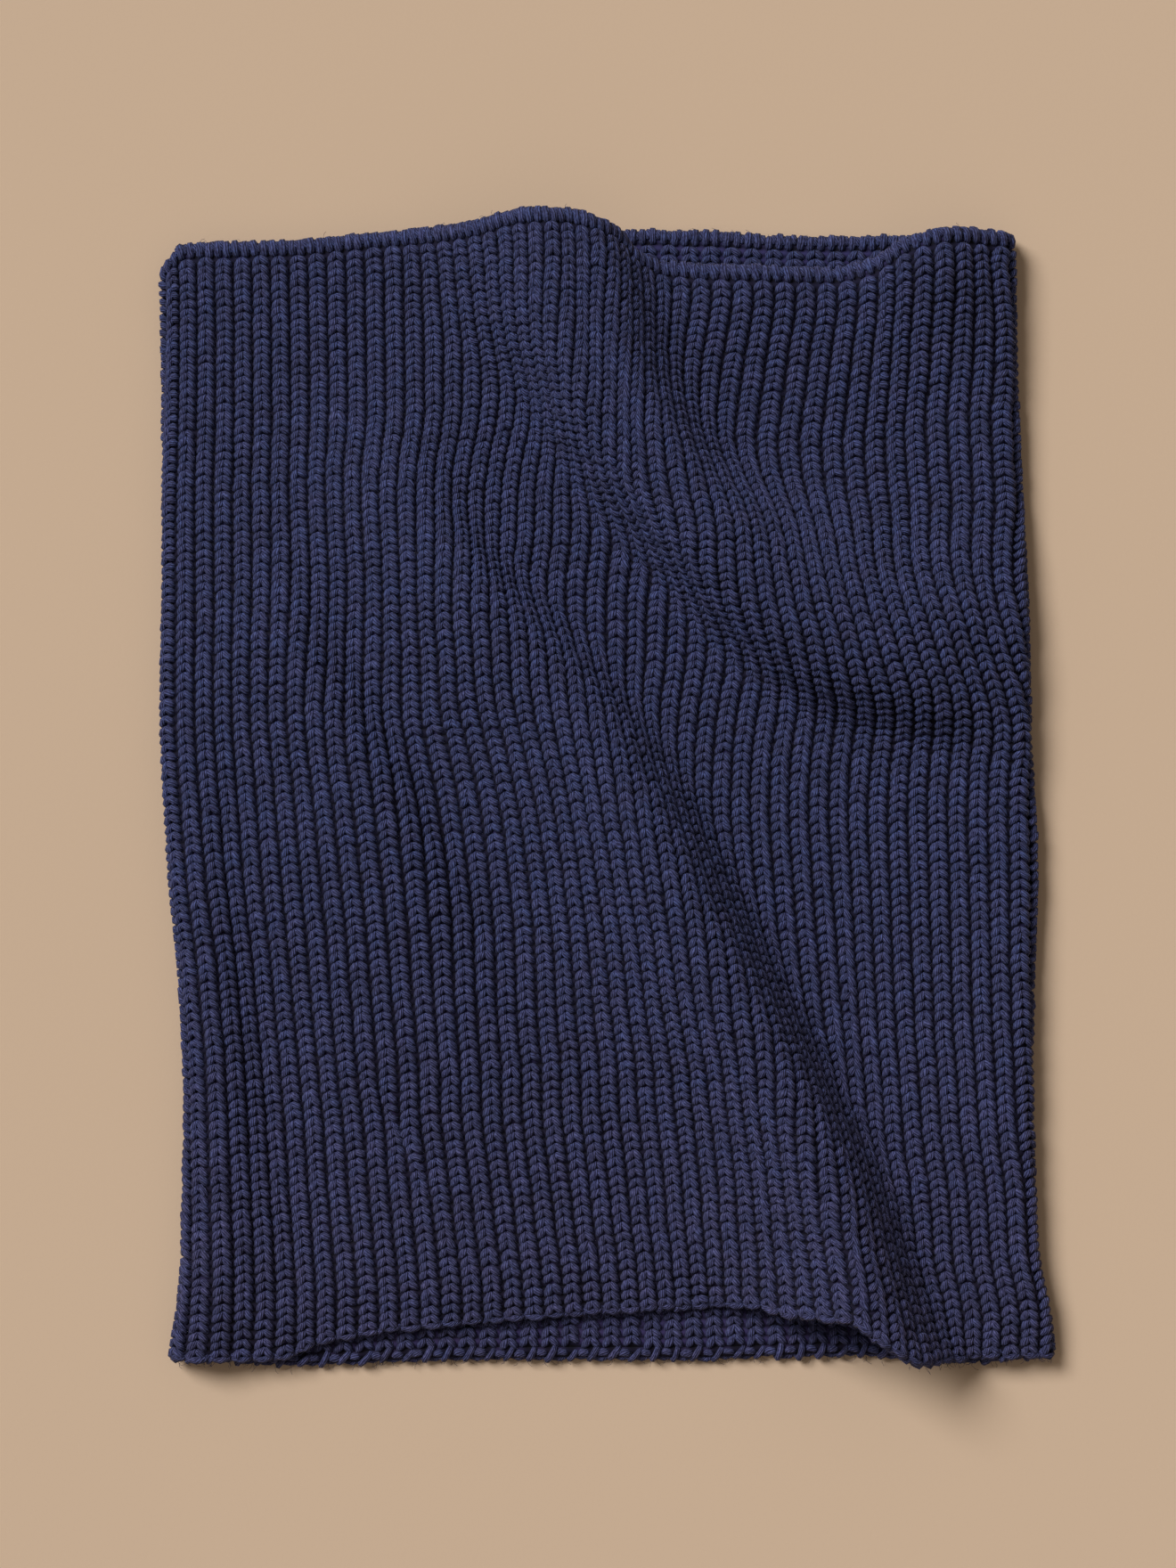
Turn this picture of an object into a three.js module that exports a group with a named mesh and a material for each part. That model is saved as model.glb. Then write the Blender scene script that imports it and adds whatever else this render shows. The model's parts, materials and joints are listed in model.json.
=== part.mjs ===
// A chunky knitted snood: one wide seamless tube of one-by-one rib, lying flat on a surface.
// Millimetres. +Z is up, +Y points to the rolled starting edge, and +X to the right as seen from above.
// The tube lies as two layers joined by a soft roll at each side. The lower layer is flat on the
// surface. The upper one rises into a long slanting fold that opens at the bound-off edge, and a
// shorter curved fold that starts at the rolled edge.
import * as THREE from 'three';

// Driving dimensions
const WALL = 5.0; // knitted wall, from a rib's crest to the smooth inner face
const GAP = 5.6; // room between the two layers where the tube is flat
const ROLL = (WALL + GAP) / 2; // radius of the wall's middle round each side roll
const RIBS = 90; // ribs round the whole tube
const RIB_DEPTH = 1.4; // depth of the furrow between two ribs
const EDGE_RIB_DEPTH = 0.5; // the same, left at the two open edges
const COURSE_SLACK = 0.07; // the courses sit this much closer at the start and wider at the end

// Mesh sizes: the upper layer carries the ribs and folds, the lower one is flat
const RIBBED_ROWS = 32;
const LINING_ROWS = 18;
const FLAT_ROWS = 8;
const FLAT_COLUMNS = 14;
const SEAM_RIBS = 1; // ribs between the last column of one patch and the first of the next
const FIRST_RIB = -2.5; // the ribbed patch starts and ends under the side rolls
const LAST_RIB = 50.5;
const STEPS_PER_RIB = 2;
const LOOP_STEPS = { side: 14, front: 300, back: 60 };
const CREST_STEPS = 10; // short straight steps between two rows of a fold's table
const SLOPE_STEP = 0.004; // fraction of the length used to measure a slope along the tube
// Where the rows lie along the tube: closer together over the short fold
const ROW_PLACES = [
  { share: 0, at: 0 },
  { share: 0.1, at: 0.12 },
  { share: 0.54, at: 0.45 },
  { share: 1, at: 1 },
];

// The outline of the flat tube, seen from above: how far each side reaches at a height y
const SIDES = [
  { y: 168, left: -135.6, right: 123.6 },
  { y: 121, left: -134.7, right: 124.5 },
  { y: 56, left: -134.7, right: 127.6 },
  { y: 24, left: -135.3, right: 128.3 },
  { y: -25, left: -132.8, right: 130.4 },
  { y: -57, left: -129.6, right: 129.5 },
  { y: -90, left: -128.0, right: 129.3 },
  { y: -138, left: -128.8, right: 130.7 },
  { y: -154, left: -129.9, right: 133.7 },
  { y: -171, left: -132.8, right: 136.4 },
];

// The two open edges of the upper and lower layers, from the left side to the right
const START_EDGE_UPPER = [
  { x: -135.3, y: 158.9 },
  { x: -129.9, y: 165.2 },
  { x: -94.8, y: 166.5 },
  { x: -67.8, y: 168.9 },
  { x: -40.8, y: 170.8 },
  { x: -25.0, y: 174.0 },
  { x: -14.0, y: 174.0 },
  { x: 1.0, y: 169.6 },
  { x: 10.0, y: 161.6 },
  { x: 20.0, y: 159.2 },
  { x: 68.0, y: 157.6 },
  { x: 81.0, y: 160.2 },
  { x: 94.0, y: 167.2 },
  { x: 107.0, y: 169.2 },
  { x: 123.4, y: 168.6 },
];
const START_EDGE_LOWER = [
  { x: -135.3, y: 158.9 },
  { x: -129.9, y: 164.0 },
  { x: -95.0, y: 165.5 },
  { x: -41.0, y: 168.5 },
  { x: 13.0, y: 170.2 },
  { x: 67.0, y: 168.4 },
  { x: 123.4, y: 168.6 },
];
const END_EDGE_UPPER = [
  { x: -132.6, y: -171.9 },
  { x: -103.0, y: -171.5 },
  { x: -83.0, y: -165.4 },
  { x: -49.0, y: -161.1 },
  { x: 27.0, y: -155.9 },
  { x: 46.0, y: -155.2 },
  { x: 56.0, y: -157.5 },
  { x: 72.0, y: -157.0 },
  { x: 83.0, y: -164.0 },
  { x: 97.0, y: -171.5 },
  { x: 136.4, y: -170.5 },
];
const END_EDGE_LOWER = [
  { x: -132.6, y: -171.9 },
  { x: -95.0, y: -173.7 },
  { x: -41.0, y: -171.9 },
  { x: 27.0, y: -171.9 },
  { x: 70.0, y: -170.8 },
  { x: 115.0, y: -172.7 },
  { x: 136.4, y: -170.5 },
];

// Folds of the upper layer. Each row is a point of the fold's crest as seen from above, with the
// height there and how wide the fold falls away on its left (or lower) and right (or upper) side.
// A negative height is a hollow. A higher power gives a flatter top and a steeper flank.
const FOLDS = [
  {
    name: 'long fold',
    leftPower: 1.4,
    rightPower: 3.4,
    rows: [
      { x: -60.0, y: 87.5, high: 1.0, left: 23.0, right: 9.0 },
      { x: -40.0, y: 57.5, high: 7.4, left: 24.0, right: 11.0 },
      { x: -13.0, y: 25.3, high: 12.0, left: 33.0, right: 13.4 },
      { x: 6.5, y: -10.5, high: 16.6, left: 34.0, right: 16.0 },
      { x: 28.8, y: -52.1, high: 18.4, left: 29.0, right: 15.0 },
      { x: 52.8, y: -93.4, high: 17.0, left: 20.0, right: 12.4 },
      { x: 68.5, y: -131.8, high: 17.5, left: 18.0, right: 14.5 },
      { x: 75.0, y: -159.7, high: 19.2, left: 19.0, right: 17.5 },
      { x: 80.0, y: -178.5, high: 20.0, left: 16.0, right: 20.0 },
    ],
  },
  {
    name: 'short fold',
    leftPower: 4.0,
    rightPower: 2.2,
    rows: [
      { x: -9.0, y: 178.8, high: 13.0, left: 42.0, right: 10.5 },
      { x: -2.8, y: 150.6, high: 14.5, left: 35.0, right: 12.8 },
      { x: 3.4, y: 123.0, high: 16.5, left: 21.0, right: 14.6 },
      { x: 17.8, y: 97.1, high: 18.6, left: 17.6, right: 13.8 },
      { x: 31.4, y: 77.4, high: 18.8, left: 15.2, right: 18.0 },
      { x: 48.0, y: 61.0, high: 16.8, left: 16.4, right: 24.0 },
      { x: 71.0, y: 47.0, high: 14.4, left: 19.0, right: 28.0 },
      { x: 97.0, y: 38.8, high: 10.2, left: 19.0, right: 27.0 },
      { x: 111.0, y: 34.5, high: 5.6, left: 18.0, right: 23.0 },
      { x: 127.0, y: 30.0, high: 1.5, left: 20.0, right: 25.0 },
    ],
  },
  {
    name: 'flute beside the short fold',
    leftPower: 2.0,
    rightPower: 2.0,
    rows: [
      { x: -20.0, y: 178.6, high: 1.6, left: 9.0, right: 5.2 },
      { x: -13.4, y: 137.2, high: 2.2, left: 9.0, right: 5.2 },
      { x: -7.4, y: 116.0, high: 1.8, left: 9.0, right: 5.2 },
    ],
  },
  {
    name: 'corner swell',
    leftPower: 2.0,
    rightPower: 2.0,
    rows: [
      { x: 98.0, y: 179.1, high: 7.0, left: 24.0, right: 14.5 },
      { x: 99.5, y: 158.9, high: 9.2, left: 24.0, right: 14.5 },
      { x: 102.8, y: 137.3, high: 4.0, left: 24.0, right: 14.5 },
      { x: 106.8, y: 115.7, high: 0.8, left: 24.0, right: 14.5 },
    ],
  },
  {
    name: 'side roll',
    leftPower: 2.0,
    rightPower: 2.0,
    rows: [
      { x: -125.5, y: 40.0, high: 0, left: 8.0, right: 8.0 },
      { x: -119.3, y: -40.9, high: 2.6, left: 8.0, right: 8.0 },
      { x: -115.5, y: -124.6, high: 2.5, left: 8.0, right: 8.0 },
      { x: -121.8, y: -173.2, high: 1.4, left: 8.0, right: 8.0 },
    ],
  },
  {
    name: 'hollow beside the side roll',
    leftPower: 2.0,
    rightPower: 2.0,
    rows: [
      { x: -117.8, y: 29.3, high: 0, left: 6.0, right: 19.0 },
      { x: -108.0, y: -59.5, high: -1.1, left: 6.0, right: 19.0 },
      { x: -94.5, y: -134.8, high: -1.1, left: 6.0, right: 19.0 },
      { x: -95.0, y: -173.2, high: 0, left: 6.0, right: 19.0 },
    ],
  },
  {
    name: 'slanting swell',
    leftPower: 2.0,
    rightPower: 2.0,
    rows: [
      { x: -107.0, y: 82.8, high: 1.2, left: 22.0, right: 9.6 },
      { x: -91.5, y: 42.0, high: 5.2, left: 22.0, right: 9.6 },
      { x: -72.8, y: 8.6, high: 6.2, left: 22.0, right: 9.6 },
      { x: -56.2, y: -26.4, high: 4.8, left: 22.0, right: 9.6 },
      { x: -42.0, y: -54.9, high: 1.2, left: 22.0, right: 9.6 },
    ],
  },
  {
    name: 'hollow below the long fold',
    leftPower: 2.0,
    rightPower: 2.0,
    rows: [
      { x: -42.5, y: -2.6, high: -0.8, left: 13.0, right: 11.0 },
      { x: 0.6, y: -83.7, high: -1.1, left: 13.0, right: 11.0 },
      { x: 36.0, y: -158.0, high: -1.1, left: 13.0, right: 11.0 },
    ],
  },
  {
    name: 'left swell',
    leftPower: 2.0,
    rightPower: 2.0,
    rows: [
      { x: -105.0, y: 3.2, high: 0.6, left: 13.0, right: 34.0 },
      { x: -98.5, y: -26.8, high: 2.8, left: 13.0, right: 34.0 },
      { x: -71.5, y: -82.2, high: 2.6, left: 13.0, right: 34.0 },
    ],
  },
  {
    name: 'upper swell',
    leftPower: 2.0,
    rightPower: 2.0,
    rows: [
      { x: -80.5, y: 126.8, high: -0.5, left: 25.0, right: 17.0 },
      { x: -58.5, y: 79.8, high: 7.2, left: 25.0, right: 17.0 },
      { x: -37.0, y: 42.7, high: 4.8, left: 24.0, right: 16.0 },
      { x: -23.7, y: 11.2, high: 1.4, left: 21.0, right: 13.5 },
    ],
  },
  {
    name: 'right hollow',
    leftPower: 2.0,
    rightPower: 2.0,
    rows: [
      { x: 41.0, y: 157.4, high: 5.0, left: 24.0, right: 19.0 },
      { x: 59.2, y: 139.0, high: 2.6, left: 24.0, right: 19.0 },
      { x: 76.0, y: 112.0, high: 0, left: 24.0, right: 19.0 },
      { x: 90.6, y: 84.2, high: -1.1, left: 24.0, right: 19.0 },
    ],
  },
];

// How much the fabric is stretched across the ribs of the upper layer, by fraction of the length
const STRETCH = [
  { at: 0, left: 0.82, middle: 1.06, right: 1.14 },
  { at: 0.5, left: 0.92, middle: 1.14, right: 0.95 },
  { at: 1, left: 1.09, middle: 0.92, right: 0.86 },
];
// How many ribs the tube has turned round itself, by fraction of the length
const TURN = [
  { at: 0, ribs: 0 },
  { at: 0.33, ribs: -0.9 },
  { at: 0.66, ribs: -0.5 },
  { at: 1, ribs: 0.6 },
];
// How the wall thickens (or thins) at the edges, by distance from the edge
const START_BAND = [
  { in: 0, swell: -1.3 },
  { in: 1.6, swell: 0.1 },
  { in: 5.2, swell: 0.1 },
  { in: 6.6, swell: -0.7 },
  { in: 8.6, swell: 0 },
];
const END_BAND = [
  { in: 0, swell: -1.2 },
  { in: 2.0, swell: 0.4 },
  { in: 6.5, swell: 0 },
];

// How the smooth inner face rounds off towards both open edges
const EDGE_ROUND = { in: 1.6, thin: 1.2 };

const NAVY = { color: 0x2c2f4a, roughness: 0.95, metalness: 0 };

const mix = (a, b, t) => a + (b - a) * t;
const clamp = (value, low, high) => Math.min(Math.max(value, low), high);

// Value of one column of a table at a place, by a cubic that never overshoots its rows
function smooth(rows, key, place, column, levelEnds = false) {
  const ordered = rows[0][key] <= rows[rows.length - 1][key] ? rows : [...rows].reverse();
  const last = ordered.length - 2;
  const slope = (i) => (ordered[i + 1][column] - ordered[i][column]) / (ordered[i + 1][key] - ordered[i][key]);
  const tangent = (i) => {
    if (i === 0) return levelEnds ? 0 : slope(0);
    if (i > last) return levelEnds ? 0 : slope(last);
    const before = slope(i - 1);
    const after = slope(i);
    return before * after > 0 ? (2 * before * after) / (before + after) : 0;
  };
  const at = clamp(place, ordered[0][key], ordered[last + 1][key]);
  let i = 0;
  while (i < last && at > ordered[i + 1][key]) i += 1;
  const span = ordered[i + 1][key] - ordered[i][key];
  const t = (at - ordered[i][key]) / span;
  return (1 + 2 * t) * (1 - t) ** 2 * ordered[i][column] + t * (1 - t) ** 2 * span * tangent(i)
    + t * t * (3 - 2 * t) * ordered[i + 1][column] + t * t * (t - 1) * span * tangent(i + 1);
}

// Straight steps along a fold's crest, with the height and widths of each
function crestSteps(fold) {
  const rows = fold.rows.map((row, index) => ({ ...row, index }));
  const steps = [];
  for (let k = 0; k <= (rows.length - 1) * CREST_STEPS; k += 1) {
    const at = k / CREST_STEPS;
    steps.push({
      x: smooth(rows, 'index', at, 'x'),
      y: smooth(rows, 'index', at, 'y'),
      high: smooth(rows, 'index', at, 'high', true),
      left: smooth(rows, 'index', at, 'left', true),
      right: smooth(rows, 'index', at, 'right', true),
    });
  }
  return steps;
}

const CRESTS = FOLDS.map((fold) => ({ ...fold, steps: crestSteps(fold) }));

// Height that one fold adds over the point x, y
function foldHeight(crest, x, y) {
  let nearest = { distance: Infinity };
  for (let i = 0; i + 1 < crest.steps.length; i += 1) {
    const a = crest.steps[i];
    const b = crest.steps[i + 1];
    const dx = b.x - a.x;
    const dy = b.y - a.y;
    const t = clamp(((x - a.x) * dx + (y - a.y) * dy) / (dx * dx + dy * dy), 0, 1);
    const awayX = x - a.x - t * dx;
    const awayY = y - a.y - t * dy;
    const distance = Math.hypot(awayX, awayY);
    if (distance < nearest.distance) {
      nearest = { distance, t, a, b, onRight: awayY * dx - awayX * dy > 0 };
    }
  }
  const { distance, t, a, b, onRight } = nearest;
  const width = onRight ? mix(a.right, b.right, t) : mix(a.left, b.left, t);
  const power = onRight ? crest.rightPower : crest.leftPower;
  return mix(a.high, b.high, t) * Math.exp(-((distance / width) ** power));
}

const foldsHeight = (x, y) => CRESTS.reduce((sum, crest) => sum + foldHeight(crest, x, y), 0);

// One closed course of the wall's middle: left roll, upper layer, right roll, lower layer.
// lift is 1 on the upper layer, 0 on the lower one and in between round the rolls.
function course(fraction) {
  const leftY = mix(START_EDGE_UPPER[0].y, END_EDGE_UPPER[0].y, fraction);
  const rightY = mix(START_EDGE_UPPER.at(-1).y, END_EDGE_UPPER.at(-1).y, fraction);
  const left = smooth(SIDES, 'y', leftY, 'left') + WALL / 2;
  const right = smooth(SIDES, 'y', rightY, 'right') - WALL / 2;
  const flat = [];
  for (let k = 0; k < LOOP_STEPS.side; k += 1) {
    const angle = (k / LOOP_STEPS.side) * Math.PI - Math.PI / 2;
    flat.push({ x: left + ROLL - ROLL * Math.cos(angle), lift: (1 + Math.sin(angle)) / 2 });
  }
  for (let k = 0; k < LOOP_STEPS.front; k += 1) {
    flat.push({ x: mix(left + ROLL, right - ROLL, k / LOOP_STEPS.front), lift: 1 });
  }
  for (let k = 0; k < LOOP_STEPS.side; k += 1) {
    const angle = Math.PI / 2 - (k / LOOP_STEPS.side) * Math.PI;
    flat.push({ x: right - ROLL + ROLL * Math.cos(angle), lift: (1 + Math.sin(angle)) / 2 });
  }
  for (let k = 0; k < LOOP_STEPS.back; k += 1) {
    flat.push({ x: mix(right - ROLL, left + ROLL, k / LOOP_STEPS.back), lift: 0 });
  }
  return flat.map(({ x, lift }) => {
    const across = (x - left) / (right - left);
    const edgeY = (upper, lower) => {
      const edgeX = mix(upper[0].x, upper.at(-1).x, across);
      return mix(smooth(lower, 'x', edgeX, 'y'), smooth(upper, 'x', edgeX, 'y'), lift);
    };
    const startLine = mix(START_EDGE_UPPER[0].y, START_EDGE_UPPER.at(-1).y, across);
    const endLine = mix(END_EDGE_UPPER[0].y, END_EDGE_UPPER.at(-1).y, across);
    const y = mix(startLine, endLine, fraction)
      + (edgeY(START_EDGE_UPPER, START_EDGE_LOWER) - startLine) * (1 - fraction) ** 2
      + (edgeY(END_EDGE_UPPER, END_EDGE_LOWER) - endLine) * fraction ** 2;
    const z = WALL / 2 + 2 * ROLL * lift + (lift > 0 ? lift * foldsHeight(x, y) : 0);
    return { point: new THREE.Vector3(x, y, z), lift, across };
  });
}

// Rib number of each point of a course, counted from the left side by the stretched length
function ribNumbers(points, fraction) {
  const side = { left: 0, middle: 0, right: 0 };
  for (const key of Object.keys(side)) {
    side[key] = smooth(STRETCH, 'at', fraction, key);
  }
  const stretch = points.map(({ across, lift }) => {
    const upper = across < 0.5
      ? mix(side.left, side.middle, across * 2)
      : mix(side.middle, side.right, across * 2 - 1);
    return mix(1, upper, lift);
  });
  const total = [0];
  for (let i = 0; i < points.length; i += 1) {
    const next = (i + 1) % points.length;
    const length = points[i].point.distanceTo(points[next].point);
    total.push(total[i] + (2 * length) / (stretch[i] + stretch[next]));
  }
  let leftmost = 0;
  points.forEach(({ across }, i) => {
    if (across < points[leftmost].across) leftmost = i;
  });
  const turned = smooth(TURN, 'at', fraction, 'ribs');
  return total.map((length) => ((length - total[leftmost]) / total.at(-1)) * RIBS - turned);
}

// Everything needed to place points of one course: the rib number, place, outward way and lift
function measuredCourse(fraction) {
  const points = course(fraction);
  const before = course(clamp(fraction - SLOPE_STEP, 0, 1));
  const after = course(clamp(fraction + SLOPE_STEP, 0, 1));
  const numbers = ribNumbers(points, fraction);
  const count = points.length;
  const ways = points.map((_, i) => {
    const along = after[i].point.clone().sub(before[i].point);
    const round = points[(i + 1) % count].point.clone().sub(points[(i + count - 1) % count].point);
    return along.cross(round).normalize();
  });
  return (rib) => {
    let wanted = rib;
    while (wanted < numbers[0]) wanted += RIBS;
    while (wanted >= numbers[0] + RIBS) wanted -= RIBS;
    let i = 0;
    while (i < count - 1 && numbers[i + 1] <= wanted) i += 1;
    const next = (i + 1) % count;
    const t = (wanted - numbers[i]) / (numbers[i + 1] - numbers[i]);
    return {
      point: points[i].point.clone().lerp(points[next].point, t),
      way: ways[i].clone().lerp(ways[next], t).normalize(),
      lift: mix(points[i].lift, points[next].lift, t),
    };
  };
}

// Fractions of the length where a patch has its rows: close together in the two edge bands
function rowFractions(rows) {
  const length = START_EDGE_UPPER[0].y - END_EDGE_UPPER[0].y;
  const start = START_BAND.map((row) => row.in / length);
  const end = END_BAND.map((row) => 1 - row.in / length).reverse();
  const even = [];
  for (let k = 1; k < rows; k += 1) {
    even.push(mix(start.at(-1), end[0], smooth(ROW_PLACES, 'share', k / rows, 'at')));
  }
  return [...start, ...even, ...end];
}

// Distance from the wall's middle to its ribbed face
function ribbedOffset(fraction, rib, lift) {
  const length = START_EDGE_UPPER[0].y - END_EDGE_UPPER[0].y;
  const fromStart = fraction * length;
  const fromEnd = (1 - fraction) * length;
  const swell = fromStart < fromEnd
    ? smooth(START_BAND, 'in', fromStart, 'swell')
    : smooth(END_BAND, 'in', fromEnd, 'swell');
  const inside = clamp(Math.min(fromStart, fromEnd) / START_BAND.at(-1).in, 0, 1);
  const furrow = mix(EDGE_RIB_DEPTH, RIB_DEPTH, inside) * lift * (0.5 - 0.5 * Math.cos(2 * Math.PI * rib));
  return WALL / 2 + Math.min(swell, 0) + Math.max(swell, 0) * lift - furrow;
}

// Distance from the wall's middle to its smooth inner face
function liningOffset(fraction) {
  const length = START_EDGE_UPPER[0].y - END_EDGE_UPPER[0].y;
  const fromEdge = Math.min(fraction, 1 - fraction) * length;
  return WALL / 2 - EDGE_ROUND.thin * (1 - clamp(fromEdge / EDGE_ROUND.in, 0, 1));
}

// A grid of points over part of the tube, as rows of vertex numbers
const vertices = [];
const triangles = [];

function patch(rows, columns, offset, outward) {
  const fractions = rowFractions(rows);
  const grid = fractions.map((even) => {
    const fraction = even * (1 - COURSE_SLACK + COURSE_SLACK * even);
    const at = measuredCourse(fraction);
    return columns.map((rib) => {
      const { point, way, lift } = at(rib);
      vertices.push(point.addScaledVector(way, outward * offset(fraction, rib, lift)));
      return vertices.length - 1;
    });
  });
  for (let j = 0; j + 1 < grid.length; j += 1) {
    for (let i = 0; i + 1 < columns.length; i += 1) {
      const corner = [grid[j][i], grid[j + 1][i], grid[j + 1][i + 1], grid[j][i + 1]];
      face(corner[0], corner[1], corner[2], outward);
      face(corner[0], corner[2], corner[3], outward);
    }
  }
  return grid;
}

function face(a, b, c, outward) {
  triangles.push(outward > 0 ? [a, b, c] : [a, c, b]);
}

// A strip of triangles between two lines of vertices that run the same way.
// The second line lies on the right of the first, seen from outside.
function strip(first, second, outward) {
  let i = 0;
  let j = 0;
  while (i < first.length - 1 || j < second.length - 1) {
    const nextFirst = (i + 1) / (first.length - 1);
    const nextSecond = (j + 1) / (second.length - 1);
    const stepFirst = j === second.length - 1 || (i < first.length - 1 && nextFirst <= nextSecond);
    if (stepFirst) {
      face(first[i], first[i + 1], second[j], outward);
      i += 1;
    } else {
      face(first[i], second[j + 1], second[j], outward);
      j += 1;
    }
  }
}

const column = (grid, index) => grid.map((row) => row.at(index));

function columnsBetween(first, last, count) {
  return Array.from({ length: count + 1 }, (_, k) => mix(first, last, k / count));
}

function buildTube() {
  const ribbedColumns = columnsBetween(FIRST_RIB, LAST_RIB, (LAST_RIB - FIRST_RIB) * STEPS_PER_RIB);
  const liningColumns = columnsBetween(FIRST_RIB, LAST_RIB, LAST_RIB - FIRST_RIB);
  const flatColumns = columnsBetween(LAST_RIB + SEAM_RIBS, FIRST_RIB + RIBS - SEAM_RIBS, FLAT_COLUMNS);

  const ribbed = patch(RIBBED_ROWS, ribbedColumns, ribbedOffset, 1);
  const underside = patch(FLAT_ROWS, flatColumns, (fraction) => ribbedOffset(fraction, 0, 0), 1);
  const lining = patch(LINING_ROWS, liningColumns, liningOffset, -1);
  const flatLining = patch(FLAT_ROWS, flatColumns, liningOffset, -1);

  for (const [upper, lower, outward] of [[ribbed, underside, 1], [lining, flatLining, -1]]) {
    strip(column(upper, -1), column(lower, 0), outward);
    strip(column(lower, -1), column(upper, 0), outward);
  }
  for (const [row, outward] of [[0, 1], [-1, -1]]) {
    const outer = [ribbed.at(row), underside.at(row)];
    const inner = [lining.at(row), flatLining.at(row)];
    outer.forEach((line, k) => {
      const next = (k + 1) % outer.length;
      strip([...line, outer[next][0]], [...inner[k], inner[next][0]], outward);
    });
  }
}

buildTube();
const box = new THREE.Box3().setFromPoints(vertices);
const centre = box.getCenter(new THREE.Vector3());
const positions = vertices.flatMap((v) => [v.x - centre.x, v.y - centre.y, v.z - box.min.z]);
const geometry = new THREE.BufferGeometry();
geometry.setAttribute('position', new THREE.Float32BufferAttribute(positions, 3));
geometry.setIndex(triangles.flat());
geometry.computeVertexNormals();

const snood = new THREE.Group();
const tube = new THREE.Mesh(geometry, new THREE.MeshStandardMaterial(NAVY));
tube.name = 'knit_tube';
snood.add(tube);

export default snood;
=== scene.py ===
# %% [markdown]
# # A chunky knitted snood, lying flat
#
# The snood is one wide seamless tube of one-by-one rib in navy wool. It lies on a pale surface as two
# layers, with a long slanting fold and a shorter curved one in the upper layer. Everything here is in
# metres in the end, and the tables below are in millimetres, because that is how knitting is measured.

import json
import math

import bpy
import numpy as np
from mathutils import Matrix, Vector

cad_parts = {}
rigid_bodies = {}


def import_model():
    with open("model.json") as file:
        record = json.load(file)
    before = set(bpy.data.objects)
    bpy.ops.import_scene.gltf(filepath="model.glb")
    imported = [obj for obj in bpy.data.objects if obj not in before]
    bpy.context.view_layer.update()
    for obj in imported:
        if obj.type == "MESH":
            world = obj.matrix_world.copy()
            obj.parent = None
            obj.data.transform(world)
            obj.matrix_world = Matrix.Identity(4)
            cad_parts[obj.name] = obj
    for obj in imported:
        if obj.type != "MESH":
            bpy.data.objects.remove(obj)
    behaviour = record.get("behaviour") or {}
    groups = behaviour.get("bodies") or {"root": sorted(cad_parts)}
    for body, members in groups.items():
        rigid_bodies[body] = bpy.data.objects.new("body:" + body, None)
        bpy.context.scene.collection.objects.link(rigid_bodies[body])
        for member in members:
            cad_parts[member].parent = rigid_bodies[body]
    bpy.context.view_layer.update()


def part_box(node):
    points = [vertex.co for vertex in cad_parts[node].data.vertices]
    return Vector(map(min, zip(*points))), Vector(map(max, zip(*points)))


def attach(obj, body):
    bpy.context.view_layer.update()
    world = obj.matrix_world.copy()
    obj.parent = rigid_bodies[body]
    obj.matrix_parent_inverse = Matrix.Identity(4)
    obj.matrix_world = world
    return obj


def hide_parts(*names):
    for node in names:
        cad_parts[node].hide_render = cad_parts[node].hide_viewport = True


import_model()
tube_low, tube_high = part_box("knit_tube")
print("the tube's box in mm:", [round(1000 * v, 1) for v in (*tube_low, *tube_high)])

# %% [markdown]
# ## The camera
#
# The photograph looks straight down, from far enough away that the sides of the tube hardly show. A long
# lens high above does the same. The camera is made before the pieces, so that each of them can be judged
# in it as it is added.

# %% Put the camera straight above the snood
CAMERA_HEIGHT = 1.30
CAMERA_AIM = (-0.0058, 0.0021)  # the middle of the picture, a little to the left of the snood's middle
PICTURE_LENGTH = 0.4752  # how much of the floor the long side of the picture covers
SENSOR = 36.0  # width of the film, in mm
FAR_END = 20


def point_at(thing, target):
    """Turns a camera or a lamp so that it looks at a point."""
    way = Vector(target) - thing.location
    thing.rotation_euler = way.to_track_quat("-Z", "Y").to_euler()


bpy.ops.object.camera_add(location=(*CAMERA_AIM, CAMERA_HEIGHT), rotation=(0, 0, 0))
camera = bpy.context.object
camera.data.sensor_width = SENSOR
camera.data.lens = SENSOR * CAMERA_HEIGHT / PICTURE_LENGTH
camera.data.clip_end = FAR_END
bpy.context.scene.camera = camera
print("lens in mm:", round(camera.data.lens, 1))

# %% [markdown]
# ## Studio light
#
# The long shadow sides of the folds and the narrow soft shadow on the floor tell where the light stood: to
# the upper left, about half way up, large and far away. A far lamp lights the floor evenly, and a sun lamp
# is one that is as far as can be. Its angle is the size it has in the sky, which sets how soft the shadows
# are. A second, much wider one overhead and the world keep the shadows open.

# %% Hang the lamps
LAMPS = [  # name, degrees round from +X, degrees up, degrees wide, strength, colour
    ("key_lamp", 138, 45, 27, 3.36, (0.985, 0.985, 0.985)),
    ("top_lamp", 100, 80, 120, 0.15, (1.0, 0.98, 0.96)),
]
WORLD_LIGHT = (1.0, 0.86, 0.72)
WORLD_STRENGTH = 0.21
LAMP_DISTANCE = 2.0  # where it hangs makes no difference to a sun lamp, only where it points

for name, degrees_round, degrees_up, wide, strength, colour in LAMPS:
    around, up = math.radians(degrees_round), math.radians(degrees_up)
    way = Vector((math.cos(up) * math.cos(around), math.cos(up) * math.sin(around), math.sin(up)))
    bpy.ops.object.light_add(type="SUN", location=way * LAMP_DISTANCE)
    lamp = bpy.context.object
    lamp.name = name
    lamp.data.angle = math.radians(wide)
    lamp.data.energy = strength
    lamp.data.color = colour
    point_at(lamp, (0, 0, 0))

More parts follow.
